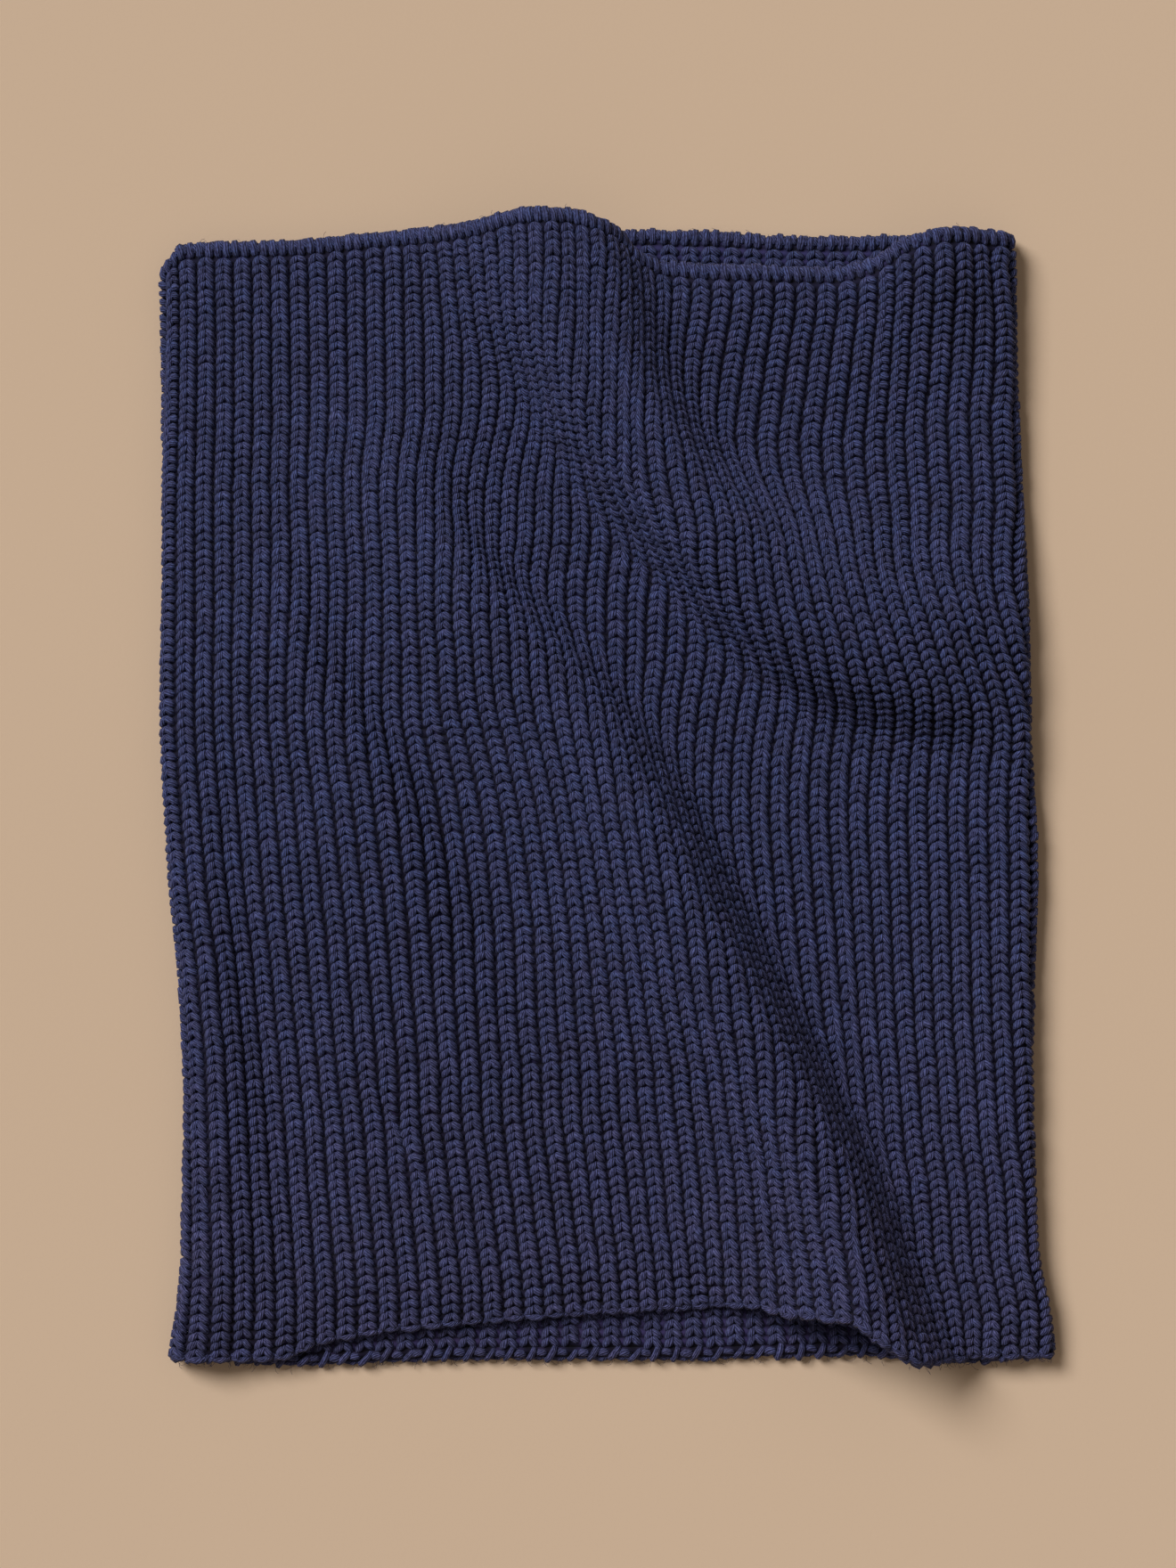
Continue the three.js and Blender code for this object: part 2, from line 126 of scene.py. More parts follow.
world = bpy.data.worlds.new("studio")
world.use_nodes = True
world.node_tree.nodes["Background"].inputs["Color"].default_value = (*WORLD_LIGHT, 1)
world.node_tree.nodes["Background"].inputs["Strength"].default_value = WORLD_STRENGTH
bpy.context.scene.world = world
bpy.context.scene.view_settings.view_transform = "Standard"
print("lamps:", [row[0] for row in LAMPS])

# %% [markdown]
# ## The floor
#
# A plain sheet of warm card. It is a stage and not a part of the snood. Its colour is not quite even, as
# on real card, so its material mixes two close tones by a broad noise and has a very fine tooth.

# %% Lay the floor and give it its card material
FLOOR_SIZE = 8.0
CARD_LIGHT = (0.560, 0.418, 0.300)
CARD_DARK = (0.535, 0.398, 0.284)
CARD_CLOUDS, CARD_GRAIN = 3.0, 900.0  # how fine the two noises are
CARD_TOOTH = 0.0002  # depth of the grain


def new_material(name):
    """A node material, and its Principled shader."""
    material = bpy.data.materials.new(name)
    material.use_nodes = True
    return material, material.node_tree.nodes["Principled BSDF"]


def add_node(tree, kind, **values):
    """A new node in a tree, with attributes or input sockets set by name."""
    node = tree.nodes.new(kind)
    for key, value in values.items():
        if hasattr(node, key):
            setattr(node, key, value)
        else:
            node.inputs[key.replace("_", " ")].default_value = value
    return node


def set_finish(shader, **values):
    """Sets a shader's own sockets by name."""
    for key, value in values.items():
        shader.inputs[key.replace("_", " ")].default_value = value


def mix_colours(tree, share, first, second):
    """A colour mix. Each of the three is a socket or a plain value."""
    node = add_node(tree, "ShaderNodeMix", data_type="RGBA")
    for socket, value in zip((node.inputs[0], node.inputs[6], node.inputs[7]), (share, first, second)):
        if isinstance(value, bpy.types.NodeSocket):
            tree.links.new(value, socket)
        else:
            socket.default_value = value if isinstance(value, float) else (*value, 1)
    return node.outputs[2]


bpy.ops.mesh.primitive_plane_add(size=FLOOR_SIZE, location=(0, 0, 0))
floor = bpy.context.object
floor.name = "floor"
card, card_shader = new_material("warm_card")
card_place = add_node(card.node_tree, "ShaderNodeTexCoord")
card_noise = add_node(card.node_tree, "ShaderNodeTexNoise", Scale=CARD_CLOUDS, Detail=2.0)
card_tooth = add_node(card.node_tree, "ShaderNodeTexNoise", Scale=CARD_GRAIN, Detail=2.0)
card_bump = add_node(card.node_tree, "ShaderNodeBump", Strength=0.15, Distance=CARD_TOOTH)
for noise in (card_noise, card_tooth):
    card.node_tree.links.new(card_place.outputs["Object"], noise.inputs["Vector"])
card.node_tree.links.new(card_tooth.outputs["Fac"], card_bump.inputs["Height"])
card.node_tree.links.new(card_bump.outputs["Normal"], card_shader.inputs["Normal"])
card_tone = mix_colours(card.node_tree, card_noise.outputs["Fac"], CARD_DARK, CARD_LIGHT)
card.node_tree.links.new(card_tone, card_shader.inputs["Base Color"])
set_finish(card_shader, Roughness=0.9, Specular_IOR_Level=0.2)
floor.data.materials.append(card)
print("floor:", FLOOR_SIZE, "m square")

# %% [markdown]
# ## The shape of the tube
#
# A knitted tube that lies flat is a closed loop, moved along its length. Each course of the knitting is
# such a loop: flat below, rolled round at both sides, and lifted above where a fold runs. The tables hold
# the outline seen from above, the two open edges of each layer, and the folds. A fold is a crest line with
# a height and a width to each side. A cubic that never overshoots its rows joins them. The solid keeps its
# layers far enough apart for a hand. Here they are pressed together as wool presses itself, the upper edge
# at the end droops onto the lower layer, and the folds stand up to the same height as the solid's.
#
# The sides of the outline, and some points of its ends, are edges that a measuring program found in the
# photograph. The folds were placed one by one at first. Their heights, widths and places then followed a
# fitting program that compares light and shade, and were rounded by hand. So these tables are measured and
# fitted to one picture, and not worked out from a few dimensions.

# %% The outline, the two open edges and the folds, in millimetres
WALL = 5.0  # thickness of the knitting, with its stitches
GAP = 1.0  # room between the two layers where the tube is flat
ROLL = (WALL + GAP) / 2  # radius of the wall's middle round each side
FOLD_GAIN = 1.23  # how much higher the folds stand over the pressed cloth than the table says
DROOP, DROOP_REACH = 2.0, 9.0  # how far the upper edge at the end sinks, and over what length
RIBS = 90  # round the whole tube
MIDDLE = (0.1437, 0.1975)  # the middle of the tube's box, in the coordinates of the tables

SIDES = {  # how far each side reaches at a height y
    "y": [-171, -154, -138, -90, -57, -25, 24, 56, 121, 168],
    "left": [-132.8, -129.9, -128.8, -128.0, -129.6, -132.8, -135.3, -134.7, -134.7, -135.6],
    "right": [136.4, 133.7, 130.7, 129.3, 129.5, 130.4, 128.3, 127.6, 124.5, 123.6],
}
START_UPPER = {
    "x": [-135.3, -129.9, -94.8, -67.8, -40.8, -25, -14, 1, 10, 20, 68, 81, 94, 107, 123.4],
    "y": [158.9, 165.2, 166.5, 168.9, 170.8, 174, 174, 169.6,
          161.6, 159.2, 157.6, 160.2, 167.2, 169.2, 168.6],
}
START_LOWER = {
    "x": [-135.3, -129.9, -95, -41, 13, 67, 123.4],
    "y": [158.9, 164.0, 165.5, 168.5, 170.2, 168.4, 168.6],
}
END_UPPER = {
    "x": [-132.6, -103, -83, -49, 27, 46, 56, 72, 83, 97, 136.4],
    "y": [-171.9, -171.5, -165.4, -161.1, -155.9, -155.2, -157.5, -157.0, -164.0, -171.5, -170.5],
}
END_LOWER = {
    "x": [-132.6, -95, -41, 27, 70, 115, 136.4],
    "y": [-171.9, -173.7, -171.9, -171.9, -170.8, -172.7, -170.5],
}
FOLDS = [  # name, left and right power, then rows of x, y, height, left width, right width
    ("long fold", 1.4, 3.4, [
        (-60.0, 87.5, 1.0, 23.0, 9.0), (-40.0, 57.5, 7.4, 24.0, 11.0), (-13.0, 25.3, 12.0, 33.0, 13.4),
        (6.5, -10.5, 16.6, 34.0, 16.0), (28.8, -52.1, 18.4, 29.0, 15.0), (52.8, -93.4, 17.0, 20.0, 12.4),
        (68.5, -131.8, 17.5, 18.0, 14.5), (75.0, -159.7, 19.2, 19.0, 17.5),
        (80.0, -178.5, 20.0, 16.0, 20.0)]),
    ("short fold", 4.0, 2.2, [
        (-9.0, 178.8, 13.0, 42.0, 10.5), (-2.8, 150.6, 14.5, 35.0, 12.8), (3.4, 123.0, 16.5, 21.0, 14.6),
        (17.8, 97.1, 18.6, 17.6, 13.8), (31.4, 77.4, 18.8, 15.2, 18.0), (48.0, 61.0, 16.8, 16.4, 24.0),
        (71.0, 47.0, 14.4, 19.0, 28.0), (97.0, 38.8, 10.2, 19.0, 27.0), (111.0, 34.5, 5.6, 18.0, 23.0),
        (127.0, 30.0, 1.5, 20.0, 25.0)]),
    ("flute beside the short fold", 2.0, 2.0, [
        (-20.0, 178.6, 1.6, 9.0, 5.2), (-13.4, 137.2, 2.2, 9.0, 5.2), (-7.4, 116.0, 1.8, 9.0, 5.2)]),
    ("corner swell", 2.0, 2.0, [
        (98.0, 179.1, 7.0, 24.0, 14.5), (99.5, 158.9, 9.2, 24.0, 14.5), (102.8, 137.3, 4.0, 24.0, 14.5),
        (106.8, 115.7, 0.8, 24.0, 14.5)]),
    ("side roll", 2.0, 2.0, [
        (-125.5, 40.0, 0, 8.0, 8.0), (-119.3, -40.9, 2.6, 8.0, 8.0), (-115.5, -124.6, 2.5, 8.0, 8.0),
        (-121.8, -173.2, 1.4, 8.0, 8.0)]),
    ("hollow beside the side roll", 2.0, 2.0, [
        (-117.8, 29.3, 0, 6.0, 19.0), (-108.0, -59.5, -1.1, 6.0, 19.0), (-94.5, -134.8, -1.1, 6.0, 19.0),
        (-95.0, -173.2, 0, 6.0, 19.0)]),
    ("slanting swell", 2.0, 2.0, [
        (-107.0, 82.8, 1.2, 22.0, 9.6), (-91.5, 42.0, 5.2, 22.0, 9.6), (-72.8, 8.6, 6.2, 22.0, 9.6),
        (-56.2, -26.4, 4.8, 22.0, 9.6), (-42.0, -54.9, 1.2, 22.0, 9.6)]),
    ("hollow below the long fold", 2.0, 2.0, [
        (-42.5, -2.6, -0.8, 13.0, 11.0), (0.6, -83.7, -1.1, 13.0, 11.0), (36.0, -158.0, -1.1, 13.0, 11.0)]),
    ("left swell", 2.0, 2.0, [
        (-105.0, 3.2, 0.6, 13.0, 34.0), (-98.5, -26.8, 2.8, 13.0, 34.0), (-71.5, -82.2, 2.6, 13.0, 34.0)]),
    ("upper swell", 2.0, 2.0, [
        (-80.5, 126.8, -0.5, 25.0, 17.0), (-58.5, 79.8, 7.2, 25.0, 17.0), (-37.0, 42.7, 4.8, 24.0, 16.0),
        (-23.7, 11.2, 1.4, 21.0, 13.5)]),
    ("right hollow", 2.0, 2.0, [
        (41.0, 157.4, 5.0, 24.0, 19.0), (59.2, 139.0, 2.6, 24.0, 19.0), (76.0, 112.0, 0, 24.0, 19.0),
        (90.6, 84.2, -1.1, 24.0, 19.0)]),
]
print("folds:", ", ".join(fold[0] for fold in FOLDS))


# %% Read a table smoothly, and measure the height of the folds over any point
def smooth(places, values, at, level_ends=False):
    """Values of a table at any places, by a cubic that never overshoots its rows."""
    places, values = np.asarray(places, float), np.asarray(values, float)
    slope = np.diff(values) / np.diff(places)
    tangent = np.zeros(len(values))
    before, after = slope[:-1], slope[1:]
    turning = before * after <= 0
    tangent[1:-1] = np.where(turning, 0, 2 * before * after / np.where(turning, 1, before + after))
    if not level_ends:
        tangent[0], tangent[-1] = slope[0], slope[-1]
    at = np.clip(at, places[0], places[-1])
    row = np.clip(np.searchsorted(places, at, side="right") - 1, 0, len(places) - 2)
    span = places[row + 1] - places[row]
    t = (at - places[row]) / span
    return ((1 + 2 * t) * (1 - t) ** 2 * values[row] + t * (1 - t) ** 2 * span * tangent[row]
            + t * t * (3 - 2 * t) * values[row + 1] + t * t * (t - 1) * span * tangent[row + 1])


CREST_STEPS = 10  # short straight steps between two rows of a fold's table


def fold_height(x, y, fold):
    """Height in millimetres that one fold adds at the points x, y."""
    _, left_power, right_power, rows = fold
    rows = np.array(rows, float)
    at = np.linspace(0, len(rows) - 1, (len(rows) - 1) * CREST_STEPS + 1)
    crest = [smooth(range(len(rows)), rows[:, k], at, level_ends=k > 1) for k in range(5)]
    nearest = np.full(x.shape, np.inf)
    height = np.zeros(x.shape)
    for k in range(len(at) - 1):
        ax, ay = crest[0][k], crest[1][k]
        dx, dy = crest[0][k + 1] - ax, crest[1][k + 1] - ay
        t = np.clip(((x - ax) * dx + (y - ay) * dy) / (dx * dx + dy * dy), 0, 1)
        away_x, away_y = x - ax - t * dx, y - ay - t * dy
        distance = np.hypot(away_x, away_y)
        on_right = away_y * dx - away_x * dy > 0
        high, left, right = (crest[c][k] + t * (crest[c][k + 1] - crest[c][k]) for c in (2, 3, 4))
        width = np.where(on_right, right, left)
        power = np.where(on_right, right_power, left_power)
        closer = distance < nearest
        nearest = np.where(closer, distance, nearest)
        height = np.where(closer, high * np.exp(-((distance / width) ** power)), height)
    return height


# %% Build the middle of the wall as closed loops, from the start edge to the end edge
SIDE_STEPS, FRONT_STEPS, BACK_STEPS = 24, 320, 72


def wall_loops(fractions):
    """Points of the wall's middle: a loop for each fraction of the length, begun at the left side."""
    f = np.asarray(fractions)[:, None]
    left_y = START_UPPER["y"][0] + (END_UPPER["y"][0] - START_UPPER["y"][0]) * f
    right_y = START_UPPER["y"][-1] + (END_UPPER["y"][-1] - START_UPPER["y"][-1]) * f
    left = smooth(SIDES["y"], SIDES["left"], left_y) + WALL / 2
    right = smooth(SIDES["y"], SIDES["right"], right_y) - WALL / 2
    turn = np.arange(SIDE_STEPS) / SIDE_STEPS * np.pi - np.pi / 2
    front, back = np.arange(FRONT_STEPS) / FRONT_STEPS, np.arange(BACK_STEPS) / BACK_STEPS
    inner = right - left - 2 * ROLL
    x = np.hstack([left + ROLL - ROLL * np.cos(turn), left + ROLL + inner * front,
                   right - ROLL + ROLL * np.cos(turn), right - ROLL - inner * back])
    lift = np.concatenate([(1 + np.sin(turn)) / 2, np.ones(FRONT_STEPS),
                           (1 - np.sin(turn)) / 2, np.zeros(BACK_STEPS)])
    across = (x - left) / (right - left)

    def edge_y(upper, lower):
        edge_x = upper["x"][0] + (upper["x"][-1] - upper["x"][0]) * across
        line = upper["y"][0] + (upper["y"][-1] - upper["y"][0]) * across
        low, high = smooth(lower["x"], lower["y"], edge_x), smooth(upper["x"], upper["y"], edge_x)
        return line, low + (high - low) * lift - line

    start_line, start_off = edge_y(START_UPPER, START_LOWER)
    end_line, end_off = edge_y(END_UPPER, END_LOWER)
    y = start_line + (end_line - start_line) * f + start_off * (1 - f) ** 2 + end_off * f**2
    folds = sum(fold_height(x, y, fold) for fold in FOLDS)
    from_end = (1 - f) * (START_UPPER["y"][0] - END_UPPER["y"][-1])
    droop = DROOP * np.exp(-((from_end / DROOP_REACH) ** 2))
    z = WALL / 2 + 2 * ROLL * lift + lift * (FOLD_GAIN * folds - droop * np.exp(-folds / DROOP))
    return np.stack([x - MIDDLE[0], y - MIDDLE[1], z], axis=2), np.broadcast_to(lift, x.shape), across


LOOPS = 140
fractions = np.linspace(0, 1, LOOPS + 1)
loops, loop_lift, loop_across = wall_loops(fractions)
print("loops:", loops.shape, "highest point in mm:", round(float(loops[..., 2].max()), 1))

# %% [markdown]
# ## From loops to ribs and courses
#
# Knitting has its own two directions: ribs run along the tube, and courses run round it. Where the fabric
# is stretched a rib is wide, and where it is bunched up it is narrow, so ribs are counted by the stretched
# length round each loop, and then pushed aside where a hand has left them so. Courses are spaced evenly
# along each rib, because yarn doesn't stretch much. The result is a grid of points and outward ways that
# answers one question: where in space is this rib, at this course? Every stitch is placed by it. The tables
# of rib widths, turns and pushes follow a program that measured how the ribs lie in the photograph and
# in a render.

# %% Count the ribs round each loop
STRETCH = {  # width of a rib at four places along the tube, and at five across its upper layer
    "at": [0, 0.33, 0.66, 1],
    "left": [0.85, 0.93, 0.91, 1.08],
    "left_middle": [0.93, 0.97, 1.05, 1.01],
    "middle": [0.90, 0.98, 0.97, 0.94],
    "right_middle": [1.06, 1.00, 0.95, 0.97],
    "right": [1.11, 1.02, 0.97, 0.90],
}
ACROSS = {"left": 0, "left_middle": 0.3, "middle": 0.5, "right_middle": 0.7, "right": 1}
BUNCHING = {  # how much closer the ribs lie for each mm that a fold stands up
    "at": [0, 0.33, 0.55, 0.75, 1],
    "share": [0.011, 0.008, 0.006, 0.003, 0],
}
TURN = {  # how many ribs the tube has turned round itself
    "at": [0, 0.33, 0.66, 1],
    "ribs": [0, -0.6, -0.15, 0.3],
}
PUSHED = [  # places where the ribs were pushed round the tube: x, y, by how many ribs, and how far about
    (-2, 95, 0.9, 30),
    (-25, -2, -0.8, 40),
    (45, -152, 0.8, 28),
]
COLUMNS_PER_RIB = 8
rib_columns = np.arange(RIBS * COLUMNS_PER_RIB) / COLUMNS_PER_RIB


def rib_lines(loops, lift, across, fractions):
    """The loops' points, resampled so that each column of points stays on one place of one rib."""
    lines = np.empty((len(loops), len(rib_columns), 3))
    for j, fraction in enumerate(fractions):
        widths = [smooth(STRETCH["at"], STRETCH[key], fraction) for key in ACROSS]
        upper = np.interp(across[j], list(ACROSS.values()), widths)
        raised = (loops[j, :, 2] - WALL / 2 - 2 * ROLL * lift[j]).clip(0)
        bunched = smooth(BUNCHING["at"], BUNCHING["share"], fraction) * raised
        stretch = (1 + (upper - 1) * lift[j]) * (1 - bunched * lift[j])
        step = np.linalg.norm(np.roll(loops[j], -1, axis=0) - loops[j], axis=1)
        length = np.concatenate([[0], np.cumsum(2 * step / (stretch + np.roll(stretch, -1)))])
        leftmost = int(np.argmin(across[j]))
        number = (length - length[leftmost]) / length[-1] * RIBS - smooth(TURN["at"], TURN["ribs"], fraction)
        x, y = loops[j, :, 0], loops[j, :, 1]
        for push_x, push_y, ribs, reach in PUSHED:
            away = np.hypot(x - push_x, y - push_y) / reach
            number[:-1] = number[:-1] + lift[j] * ribs * np.exp(-(away**2))
        for axis in range(3):
            lines[j, :, axis] = np.interp(rib_columns, number[:-1], loops[j, :, axis], period=RIBS)
    return lines


lines = rib_lines(loops, loop_lift, loop_across, fractions)
print("columns of points along the ribs:", lines.shape[1])

# %% Space the courses evenly along each rib
COURSES = 125
START_EDGE = 5.6  # length of the rolled starting edge, which has strands and no courses
END_EDGE = 1.2  # the same for the bound-off edge
COURSE_SIZES = {"at": [0, 0.28, 0.42, 1], "size": [0.92, 0.93, 1.03, 1.05]}
EVEN_OVER_RIBS = 1.5  # courses are evened out with those of the ribs this far to both sides
GRID_STEPS = 2 * COURSES
BLUR_REACH = 4  # how many widths of a blur still count to each side


def blur_round(values, ribs):
    """Evens values out over neighbouring columns, round the tube."""
    reach = int(BLUR_REACH * ribs * COLUMNS_PER_RIB)
    away = np.arange(-reach, reach + 1) / COLUMNS_PER_RIB / ribs
    weight = np.exp(-(away**2) / 2)
    padded = np.concatenate([values[:, -reach:], values, values[:, :reach]], axis=1)
    return np.stack([np.convolve(row, weight / weight.sum(), mode="valid") for row in padded])


step = np.linalg.norm(np.diff(lines, axis=0), axis=2)
along = np.concatenate([np.zeros((1, step.shape[1])), np.cumsum(step, axis=0)])
lengths = along[-1]
share_along = blur_round((along - START_EDGE) / (lengths - START_EDGE - END_EDGE), EVEN_OVER_RIBS)
course_at = np.linspace(0, 1, GRID_STEPS + 1)
grown = np.cumsum(smooth(COURSE_SIZES["at"], COURSE_SIZES["size"], course_at))
course_share = (grown - grown[0]) / (grown[-1] - grown[0])
wall_points = np.empty((GRID_STEPS + 1, len(rib_columns), 3))
for k in range(len(rib_columns)):
    row = np.interp(course_share, share_along[:, k], np.arange(LOOPS + 1))
    for axis in range(3):
        wall_points[:, k, axis] = np.interp(row, np.arange(LOOPS + 1), lines[:, k, axis])
course_size = float(np.median(lengths) - START_EDGE - END_EDGE) / COURSES
print("a rib is", round(float(np.median(lengths)), 1), "mm long, a course about", round(course_size, 2), "mm")

# %% Find the outward way at every grid point, and look places up
WAY_REACH = 2  # columns to each side that the way round the tube is measured over
SMOOTH_OUT = 0.15  # ribs that the outward ways are evened out over

rib_way = np.roll(wall_points, -WAY_REACH, axis=1) - np.roll(wall_points, WAY_REACH, axis=1)
course_way = np.gradient(wall_points, axis=0)
outward = np.cross(course_way, rib_way)
outward = np.stack([blur_round(outward[..., axis], SMOOTH_OUT) for axis in range(3)], axis=2)
outward /= np.linalg.norm(outward, axis=2, keepdims=True)
rib_width = np.linalg.norm(rib_way, axis=2, keepdims=True) / (2 * WAY_REACH) * COLUMNS_PER_RIB
rib_way /= np.linalg.norm(rib_way, axis=2, keepdims=True)
wall_grid = np.concatenate([wall_points, outward, rib_way], axis=2)


def look_up(rib, course):
    """Point, outward way and way round the tube at any ribs and courses, straight on past the edges."""
    column = np.mod(rib, RIBS) * COLUMNS_PER_RIB
    left = np.floor(column).astype(int) % len(rib_columns)
    right = (left + 1) % len(rib_columns)
    row = np.asarray(course) * GRID_STEPS / COURSES
    above = np.clip(np.floor(row).astype(int), 0, GRID_STEPS - 1)
    t, u = (column - np.floor(column))[..., None], (row - above)[..., None]
    upper = wall_grid[above, left] * (1 - t) + wall_grid[above, right] * t
    lower = wall_grid[above + 1, left] * (1 - t) + wall_grid[above + 1, right] * t
    found = upper * (1 - u) + lower * u
    return found[..., :3], found[..., 3:6], found[..., 6:9]


print("width of a rib in mm:", round(float(rib_width.min()), 2), "to", round(float(rib_width.max()), 2))

# %% [markdown]
# ## The knitted wall
#
# Behind the stitches there is always more wool: the loops that join one rib to the next. A closed sheet
# stands for it. It starts as a flat grid, is rolled into the tube by moving each of its points to its rib
# and course, is sewn up along the line where the two ends of the grid meet, and gets its thickness from a
# Solidify modifier. It is what one would see between the stitches, in deep shadow.

# %% Helpers for modelling by hand
MM = 0.001


def deselect_all():
    """Leaves nothing selected, so that an operator acts on the new piece alone."""
    for thing in bpy.context.view_layer.objects:
        thing.select_set(False)


def apply_modifier(piece, kind, **values):
    """Adds a modifier to a piece, sets it and applies it."""
    deselect_all()
    piece.select_set(True)
    bpy.context.view_layer.objects.active = piece
    modifier = piece.modifiers.new(kind.lower(), kind)
    for key, value in values.items():
        setattr(modifier, key, value)
    bpy.ops.object.modifier_apply(modifier=modifier.name)


# %% Roll a flat grid into the tube's wall
WALL_COLUMNS, WALL_ROWS = 120, 50
WALL_THICKNESS = 1.9
WALL_START = -1.4  # in courses: how far the wall runs under the strands of the starting edge
WELD_DISTANCE = 0.00001

deselect_all()
bpy.ops.mesh.primitive_grid_add(x_subdivisions=WALL_COLUMNS, y_subdivisions=WALL_ROWS, size=1)
knit_wall = bpy.context.object
knit_wall.name = knit_wall.data.name = "knit_wall"
flat = np.empty(len(knit_wall.data.vertices) * 3)
knit_wall.data.vertices.foreach_get("co", flat)
flat = flat.reshape(-1, 3)
wall_course = WALL_START + (COURSES - WALL_START) * (0.5 - flat[:, 1])
point, _, _ = look_up((flat[:, 0] + 0.5) * RIBS, wall_course)
knit_wall.data.vertices.foreach_set("co", (point * MM).ravel())
deselect_all()
knit_wall.select_set(True)
bpy.ops.object.mode_set(mode="EDIT")
bpy.ops.mesh.select_all(action="SELECT")
bpy.ops.mesh.remove_doubles(threshold=WELD_DISTANCE)
bpy.ops.object.mode_set(mode="OBJECT")
apply_modifier(knit_wall, "SOLIDIFY", thickness=WALL_THICKNESS * MM, offset=0.0)
bpy.ops.object.shade_smooth()
print("knitted wall:", len(knit_wall.data.polygons), "faces")

# %% [markdown]
# ## One stitch
#
# From outside, each stitch of a rib shows as two short legs of yarn that lean together at the top. The
# legs come out from under the stitch before, swell where they lie on top, and dive under at their lower
# ends. The yarn is plied and leans one way, so the left leg is a little steeper, and its threads cross it
# while those of the right leg run along it. A leg is modelled once: a path of four points with a round
# bevel, made a mesh, with its two open ends filled and poked. It has only thirty faces, because it is
# repeated thousands of times.

# %% A short length of yarn, modelled by hand
PLIES = 9  # threads that can be counted round the yarn
PATH_POINTS = 5  # what Blender's own path starts with


def yarn(name, path, twist, bevel=1, tip=0.35):
    """One length of yarn along a path of x, y, z, radius in mm, as arrays to be laid on the wall."""
    deselect_all()
    bpy.ops.curve.primitive_nurbs_path_add(radius=MM)
    piece = bpy.context.object
    piece.name = name
    bpy.ops.object.mode_set(mode="EDIT")
    bpy.ops.curve.spline_type_set(type="POLY")
    if len(path) > PATH_POINTS:
        bpy.ops.curve.select_all(action="SELECT")
        bpy.ops.curve.subdivide()
    bpy.ops.curve.select_all(action="DESELECT")
    points = piece.data.splines[0].points
    for point in list(points)[len(path):]:
        point.select = True
    if len(points) > len(path):
        bpy.ops.curve.delete(type="VERT")
    bpy.ops.object.mode_set(mode="OBJECT")
    for point, (x, y, z, radius) in zip(piece.data.splines[0].points, path):
        point.co = (x * MM, y * MM, z * MM, 1)
        point.radius = radius
    piece.data.dimensions = "3D"
    piece.data.bevel_depth = MM
    piece.data.bevel_resolution = bevel
    bpy.ops.object.convert(target="MESH")
    piece = bpy.context.object
    sides = 4 + 2 * bevel
    bpy.ops.object.mode_set(mode="EDIT")
    bpy.ops.mesh.select_all(action="SELECT")
    bpy.ops.mesh.fill_holes(sides=sides)
    bpy.ops.mesh.select_all(action="DESELECT")
    bpy.ops.mesh.select_mode(type="FACE")
    bpy.ops.object.mode_set(mode="OBJECT")
    for face in piece.data.polygons:
        face.select = max(face.vertices) - min(face.vertices) < sides
    bpy.ops.object.mode_set(mode="EDIT")
    bpy.ops.mesh.poke(offset=tip * MM)
    bpy.ops.object.mode_set(mode="OBJECT")
    return as_arrays(piece, len(path), sides, twist)


def as_arrays(piece, rings, sides, twist):
    """The yarn's axis, each vertex's way off it, its faces, and how far round and along each corner is."""
    mesh = piece.data
    place = np.array([v.co for v in mesh.vertices]) / MM
    axis_points = place[:rings * sides].reshape(rings, sides, 3).mean(axis=1)
    ring = np.concatenate([np.repeat(np.arange(rings), sides), [0, rings - 1]])
    if np.linalg.norm(place[-2] - axis_points[0]) > np.linalg.norm(place[-1] - axis_points[0]):
        ring[-2:] = [rings - 1, 0]
    length = np.concatenate([[0], np.cumsum(np.linalg.norm(np.diff(axis_points, axis=0), axis=1))])
    faces, corners = [], []
    for face in mesh.polygons:
        numbers = list(face.vertices)
        rim = [n % sides for n in numbers if n < rings * sides]
        wraps = 0 in rim and sides - 1 in rim  # between the last side and the first
        around = {n: (n % sides + sides * (wraps and n % sides == 0)) / sides
                  for n in numbers if n < rings * sides}
        tip = sum(around.values()) / len(around)
        corners += [(PLIES * around.get(n, tip) + twist * length[ring[n]], length[ring[n]]) for n in numbers]
        faces.append(numbers)
    bpy.data.objects.remove(piece)
    axis = axis_points[ring]
    return {"axis": axis, "off": place - axis, "faces": faces, "yarn": np.array(corners)}


def together(*parts):
    """Several lengths of yarn as one set of arrays."""
    count, faces = 0, []
    for part in parts:
        faces += [[n + count for n in face] for face in part["faces"]]
        count += len(part["axis"])
    stacked = {key: np.concatenate([part[key] for part in parts]) for key in ("axis", "off", "yarn")}
    return {**stacked, "faces": faces}


# %% Model the two legs, and the plain loop for places that are hardly seen
RIGHT_LEG = [
    (0.08, 1.32, -0.05, 0.96), (0.80, 0.62, 0.42, 1.16),
    (1.58, -0.18, 0.38, 1.18), (2.20, -1.10, -0.82, 0.96)]
LEFT_LEG = [
    (-0.08, 1.36, -0.05, 0.96), (-0.74, 0.72, 0.42, 1.16),
    (-1.46, -0.24, 0.38, 1.18), (-2.10, -1.24, -0.82, 0.96)]
PLAIN_LOOP = [
    (-2.0, -0.95, -0.6, 0.95), (-1.2, 0.0, 0.3, 1.1), (0, 0.6, 0.3, 1.1),
    (1.2, 0.0, 0.3, 1.1), (2.0, -0.95, -0.6, 0.95)]
LEFT_TWIST, RIGHT_TWIST = 1.1, 0.1  # plies crossed in each millimetre along the leg

